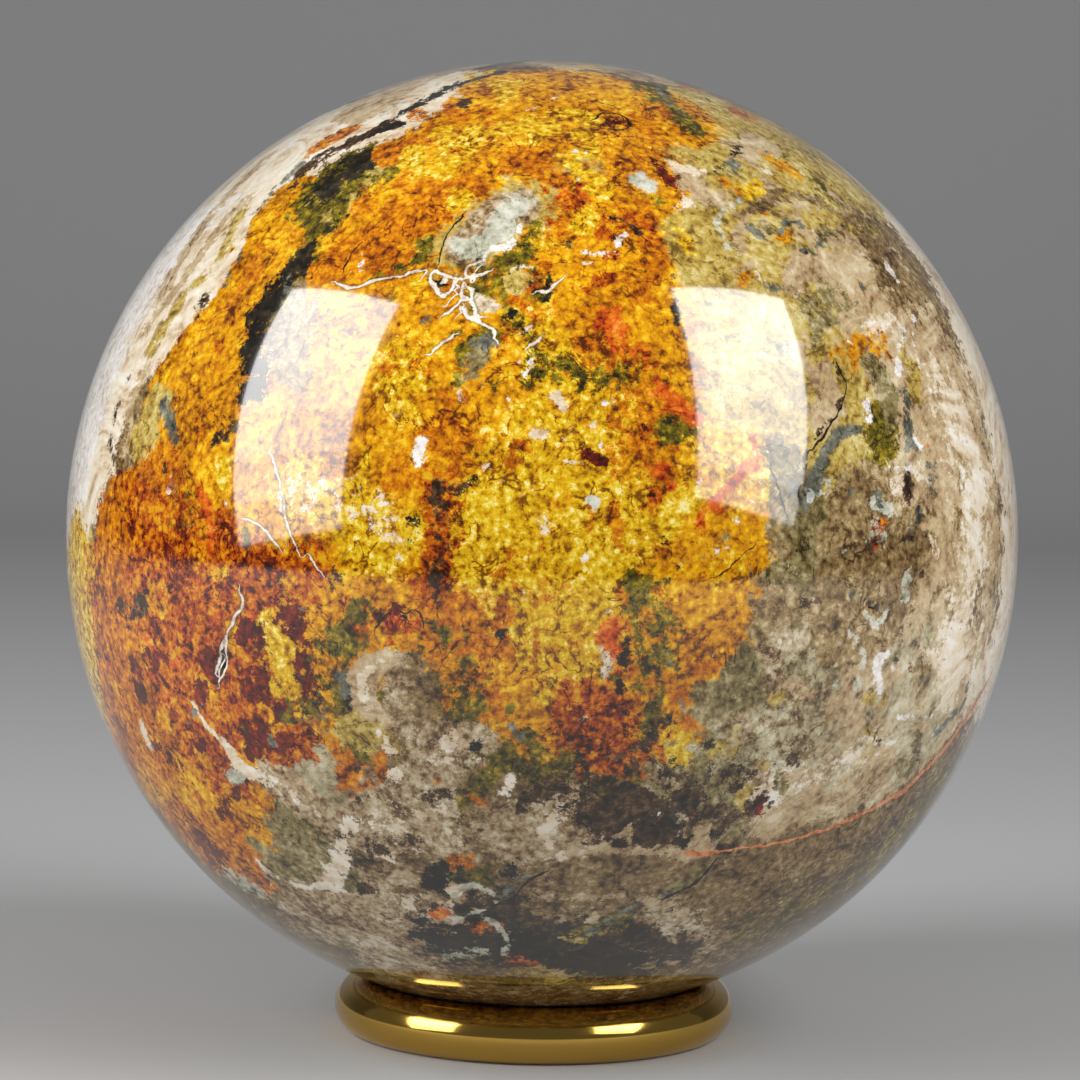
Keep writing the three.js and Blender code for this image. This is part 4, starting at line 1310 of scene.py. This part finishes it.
def ball_shape():
    """A geodesic ball, finer towards the front."""
    shape = bmesh.new()
    bmesh.ops.create_icosphere(shape, subdivisions=BALL_SUBDIVISIONS, radius=BALL_RADIUS)
    front = [
        edge for edge in shape.edges
        if min(v.co.dot(-CAMERA_FORWARD) for v in edge.verts) > BALL_RADIUS * FINE_CAP
    ]
    bmesh.ops.subdivide_edges(shape, edges=front, cuts=1, use_grid_fill=True)
    bmesh.ops.triangulate(shape, faces=shape.faces)
    for vertex in shape.verts:
        vertex.co *= BALL_RADIUS / vertex.co.length
    return shape


def warped(points, pushes):
    """Points in mm, each pushed aside by smooth noise, of the sizes and reaches given."""
    for size, reach in pushes:
        pushed = [noise.noise_vector(Vector(p) / size) for p in points]
        points = points + reach * np.array(pushed)
    return points


def line_through(points, step=1.0):
    """Points on the ball, in mm, along a smooth line through the given unit vectors."""
    if len(points) == 1:
        return np.array([points[0]] * 2) * BALL_RADIUS / MM
    ends = [points[0] * 2 - points[1], *points, points[-1] * 2 - points[-2]]
    line = []
    for a, b, c, d in zip(ends, ends[1:], ends[2:], ends[3:]):
        count = max(1, math.ceil((c - b).length * BALL_RADIUS / MM / step))
        for t in np.arange(count) / count:
            spot = (
                b * 2 + (c - a) * t + (a * 2 - b * 5 + c * 4 - d) * t ** 2
                + (b * 3 - a - c * 3 + d) * t ** 3
            )
            line.append(spot.normalized())
    line.append(points[-1])
    return np.array(line) * BALL_RADIUS / MM


def near_line(points, line, reach):
    middle = line.mean(axis=0)
    far = np.linalg.norm(line - middle, axis=1).max() + reach
    return np.flatnonzero(np.linalg.norm(points - middle, axis=1) < far)


def distance_to_line(points, line):
    """How far each point is from the line, and on which side of it."""
    nearest = np.full(len(points), 1e9)
    side = np.ones(len(points))
    for start, end in zip(line, line[1:]):
        along = end - start
        t = np.clip((points - start) @ along / max(along @ along, 1e-9), 0, 1)
        away = points - start - t[:, None] * along
        gap = np.linalg.norm(away, axis=1)
        closer = gap < nearest
        nearest[closer] = gap[closer]
        side[closer] = np.sign(away[closer] @ np.cross(start, along))
    return nearest, side


def smooth_step(value):
    value = np.clip(value, 0, 1)
    return value * value * (3 - 2 * value)


def paint_minerals(points):
    """Each mineral's share over those below it, at each point of the ball."""
    shares = {name: np.zeros(len(points)) for name in MINERALS}
    shares["taupe"] += 1
    for brush in strokes:
        line = line_through(brush.points)
        near = near_line(points, line, brush.width / 2 + brush.fade)
        gap = distance_to_line(points[near], line)[0] - brush.width / 2
        cover = brush.strength * smooth_step(0.5 - gap / brush.fade)
        for share in shares.values():
            share[near] *= 1 - cover
        shares[brush.mineral][near] += cover
    below = np.zeros(len(points))
    over = {}
    for name, share in shares.items():
        over[name] = share / (share + below + 1e-4)
        below += share
    return over


def draw_families(points):
    """For each family of fine lines: side, gap and width of the nearest one, in mm."""
    drawn = {}
    for family in LINE_FAMILIES:
        gap = np.full(len(points), LINE_REACH)
        side = np.full(len(points), LINE_REACH)
        width = np.zeros(len(points))
        for vein in veins:
            if vein.family != family:
                continue
            line = line_through(vein.points)
            near = near_line(points, line, LINE_REACH)
            away, hand = distance_to_line(points[near], line)
            closer = away < gap[near]
            chosen = near[closer]
            gap[chosen] = away[closer]
            side[chosen] = (away * hand)[closer]
            width[chosen] = vein.width
        drawn[f"{family}_gap"] = gap
        drawn[f"{family}_side"] = side
        drawn[f"{family}_width"] = width
    return drawn


RAMP_START = 0.20
RAMP_END = 0.80

# Sizes of the rock's textures, and of the noises that fray its borders and lines, in mm.
GRAIN_SIZE = 0.9
MOTTLE_SIZE = 6.0
PEBBLE_PUSH = 3.0
LAYER_BEND_SIZE = 26.0
LAYER_BEND = 34.0
LAYER_TILT = -0.6  # radians
LAYER_SHAPE = (9, 5, 1.6)
FOLD_SIZE = 4.0
SPECK_SIZE = 1.7
EDGE_SIZE = 2.0
SWAY_SIZE = 1.8

# The values of its noise between which each texture comes or goes.
GRAIN_SPAN = (0.28, 0.66)
MOTTLE_SPAN = (0.34, 0.66)
LAYER_SPAN = (0.34, 0.66)
CREVICE_SPAN = (0.40, 0.85)
CRACKED_SPAN = (0.44, 0.58)
CRACK_SPAN = (0.004, 0.024)
SPECKLED_SPAN = (0.5, 1.0)
SPECK_SPAN = (-0.02, 0.06)
SPECK_RADII = (-0.1, 0.24)  # the least is below nothing, so that many cells have no speck

# How much each of these shifts a tone.
GRAIN_TONES = (0.1, 1.0)
CREVICE_SHADE = 0.34
CRACK_SHADE = 0.60
SPECK_LIGHT = 0.5

# The border of a mineral.
RAGGEDNESS = 2.8
RAGGED_LIMIT = 0.43
BORDER_SHARES = (0.07, 0.93)  # the mineral's shares between which its border wanders
BORDER_SOFTNESS = 0.06

# The fine lines: how far the noises fray, sway and thin them, and which textures they show.
LINE_FRAYING = (0.0, 0.35, 0.2)
LINE_SWAY = (0.0, 0.8, 0.7)
LINE_THINNING = (3.4, 0.0, 2.6)
LINE_WEIGHTS = (0.6, 0.4, 0.0)
LINE_SOFTNESS = 0.06  # mm
LINE_SPAN = (0.9, 1.2)  # mm from its path, between which the last of a line fades away
SHADE_SPAN = (-0.34, -0.04)  # mm inside a white vein's edge, so that these lie outside it
SHADE_STRENGTH = 0.6


def tone_of(tree, value, tones):
    last = len(tones) - 1
    stops = [
        (RAMP_START + (RAMP_END - RAMP_START) * number / last, srgb(*tone))
        for number, tone in enumerate(tones)
    ]
    return colour_ramp(tree, value, stops)


def attribute(tree, name):
    return add(tree, "ShaderNodeAttribute", attribute_name=name).outputs["Fac"]


def rock_textures(tree, place):
    """Grain with its crevices, cracks and specks, mottling and layers, as one vector."""
    grain = fractal(tree, place, GRAIN_SIZE, 4, 0.68)
    mottle = fractal(tree, place, MOTTLE_SIZE, 8, 0.70, 0.8)
    pushed = vector_math(tree, "MULTIPLY", mottle["Color"], (PEBBLE_PUSH,) * 3)
    pebbles = add(tree, "ShaderNodeTexVoronoi", {
        "Vector": vector_math(tree, "ADD", place, pushed), "Scale": 1 / GRAIN_SIZE,
    }).outputs["Distance"]
    bend = fractal(tree, place, LAYER_BEND_SIZE, 2, 0.5)["Color"]
    bend = vector_math(tree, "MULTIPLY", bend, (LAYER_BEND,) * 3)
    layered = add(tree, "ShaderNodeMapping", {
        "Vector": vector_math(tree, "ADD", place, bend),
        "Rotation": (0, LAYER_TILT, 0),
        "Scale": LAYER_SHAPE,
    }, vector_type="TEXTURE").outputs["Vector"]
    layers = fractal(tree, layered, 1.0, 5, 0.6, 0.3)
    crevice = remap(tree, pebbles, *CREVICE_SPAN, 0.0, CREVICE_SHADE)
    folds = fractal(tree, place, FOLD_SIZE, 3, 0.55, 1.0)
    fold = calculate(tree, "ABSOLUTE", calculate(tree, "SUBTRACT", folds["Fac"], 0.5))
    cracked = vector_math(tree, "DOT_PRODUCT", mottle["Color"], (0, 1, 0))
    cracked = remap(tree, cracked, *CRACKED_SPAN)
    crack = calculate(tree, "MULTIPLY", remap(tree, fold, *CRACK_SPAN, CRACK_SHADE, 0.0), cracked)
    cells = add(tree, "ShaderNodeTexVoronoi", {"Vector": place, "Scale": 1 / SPECK_SIZE}).outputs
    radius = vector_math(tree, "DOT_PRODUCT", cells["Color"], (1, 0, 0))
    radius = remap(tree, radius, *SPECKLED_SPAN, *SPECK_RADII)
    speck = calculate(tree, "SUBTRACT", radius, cells["Distance"])
    speck = remap(tree, speck, *SPECK_SPAN, 0.0, SPECK_LIGHT)
    grain_tone = remap(tree, grain["Fac"], *GRAIN_SPAN, *GRAIN_TONES)
    for shade in (crevice, crack):
        grain_tone = calculate(tree, "SUBTRACT", grain_tone, shade)
    grain_tone = calculate(tree, "ADD", grain_tone, speck)
    return add(tree, "ShaderNodeCombineXYZ", {
        "X": grain_tone,
        "Y": remap(tree, mottle["Fac"], *MOTTLE_SPAN),
        "Z": remap(tree, layers["Fac"], *LAYER_SPAN),
    }).outputs[0]


def jasper_material():
    material, tree, shader = new_material("polished_jasper")
    object_place = add(tree, "ShaderNodeTexCoord").outputs["Object"]
    place = vector_math(tree, "MULTIPLY", object_place, (1 / MM,) * 3)
    textures = rock_textures(tree, place)
    edge = fractal(tree, place, EDGE_SIZE, 6, 0.80)["Color"]
    edge = vector_math(tree, "SUBTRACT", edge, (0.5,) * 3)
    sway = fractal(tree, place, SWAY_SIZE, 4, 0.55)["Color"]
    sway = vector_math(tree, "SUBTRACT", sway, (0.5,) * 3)

    colour = None
    for number, (name, mineral) in enumerate(MINERALS.items()):
        weights = (mineral.grain, mineral.mottle, mineral.layers)
        tone = tone_of(tree, vector_math(tree, "DOT_PRODUCT", textures, weights), mineral.tones)
        if colour is None:
            colour = tone
            continue
        own_side = direction(number * 70, number * 40) * RAGGEDNESS
        ragged = vector_math(tree, "DOT_PRODUCT", edge, own_side)
        border = remap(tree, ragged, -RAGGED_LIMIT, RAGGED_LIMIT, *BORDER_SHARES)
        above = calculate(tree, "SUBTRACT", attribute(tree, name), border)
        above = remap(tree, above, -BORDER_SOFTNESS, BORDER_SOFTNESS)
        colour = mix_colour(tree, above, colour, tone)

    frayed = vector_math(tree, "DOT_PRODUCT", edge, LINE_FRAYING)
    wander = vector_math(tree, "DOT_PRODUCT", sway, LINE_SWAY)
    wander = calculate(tree, "ADD", wander, frayed)
    thinning = vector_math(tree, "DOT_PRODUCT", edge, LINE_THINNING)
    for family, tones in LINE_FAMILIES.items():
        side = calculate(tree, "ADD", attribute(tree, f"{family}_side"), wander)
        half = calculate(tree, "MULTIPLY", attribute(tree, f"{family}_width"), 0.5)
        half = calculate(tree, "MULTIPLY", half, calculate(tree, "ADD", thinning, 1.0))
        inside = calculate(tree, "SUBTRACT", half, calculate(tree, "ABSOLUTE", side))
        line = remap(tree, inside, -LINE_SOFTNESS, LINE_SOFTNESS)
        near = remap(tree, attribute(tree, f"{family}_gap"), *LINE_SPAN, 1.0, 0.0)
        if family == "white":
            shade = remap(tree, inside, *SHADE_SPAN, 0.0, SHADE_STRENGTH)
            shade = calculate(tree, "MULTIPLY", shade, near)
            colour = mix_colour(tree, shade, colour, srgb(*VEIN_SHADE))
        tone = tone_of(tree, vector_math(tree, "DOT_PRODUCT", textures, LINE_WEIGHTS), tones)
        colour = mix_colour(tree, calculate(tree, "MULTIPLY", line, near), colour, tone)

    tree.links.new(colour, shader.inputs["Base Color"])
    shader.inputs["Roughness"].default_value = 0.07
    shader.inputs["IOR"].default_value = 1.54
    shader.inputs["Coat Weight"].default_value = 0.5
    shader.inputs["Coat Roughness"].default_value = 0.03
    return material


def make_ball():
    noise.seed_set(NOISE_SEED)
    shape = ball_shape()
    points = np.array([v.co for v in shape.verts]) / MM
    sink_pits(shape)
    bmesh.ops.translate(shape, verts=shape.verts, vec=BALL_CENTRE)
    ball = finish_mesh(shape, "polished_jasper_ball", jasper_material())
    make_stone_map()
    painted = paint_minerals(bend_far_side(warped(points, MINERAL_PUSHES)))
    painted.update(draw_families(warped(points, LINE_PUSHES)))
    for name, values in painted.items():
        layer = ball.data.attributes.new(name, "FLOAT", "POINT")
        layer.data.foreach_set("value", values.astype(np.float32))
    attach(ball, "ball")
    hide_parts("jasper_ball")


BAR_RADIUS = 3.5 * MM
RING_STEPS = 192
BAR_STEPS = 40


def brass_material():
    material, _, shader = new_material("polished_brass")
    shader.inputs["Base Color"].default_value = srgb(208, 168, 80)
    shader.inputs["Metallic"].default_value = 1.0
    shader.inputs["Roughness"].default_value = 0.11
    return material


def make_ring():
    """A round bar, bent to a ring and ground flat underneath."""
    shape = bmesh.new()
    bar_height = RING_HEIGHT - BAR_RADIUS
    bar = bmesh.ops.create_circle(shape, segments=BAR_STEPS, radius=BAR_RADIUS)["verts"]
    upright = Matrix.Rotation(math.pi / 2, 4, "X")
    bmesh.ops.transform(shape, matrix=upright, verts=bar)
    bmesh.ops.translate(shape, verts=bar, vec=(RING_RADIUS - BAR_RADIUS, 0, bar_height))
    for vertex in bar:
        vertex.co.z = max(vertex.co.z, 0)
    bmesh.ops.spin(
        shape, geom=[*shape.verts, *shape.edges], cent=(0, 0, 0), axis=(0, 0, 1),
        angle=2 * math.pi, steps=RING_STEPS, use_merge=True,
    )
    bmesh.ops.remove_doubles(shape, verts=shape.verts, dist=1e-7)
    bmesh.ops.recalc_face_normals(shape, faces=shape.faces)
    ring = finish_mesh(shape, "polished_brass_ring", brass_material())
    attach(ring, "stand")
    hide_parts("ring_stand")


bpy.context.scene.view_settings.view_transform = "Standard"
make_camera()
make_studio()
make_ball()
make_ring()
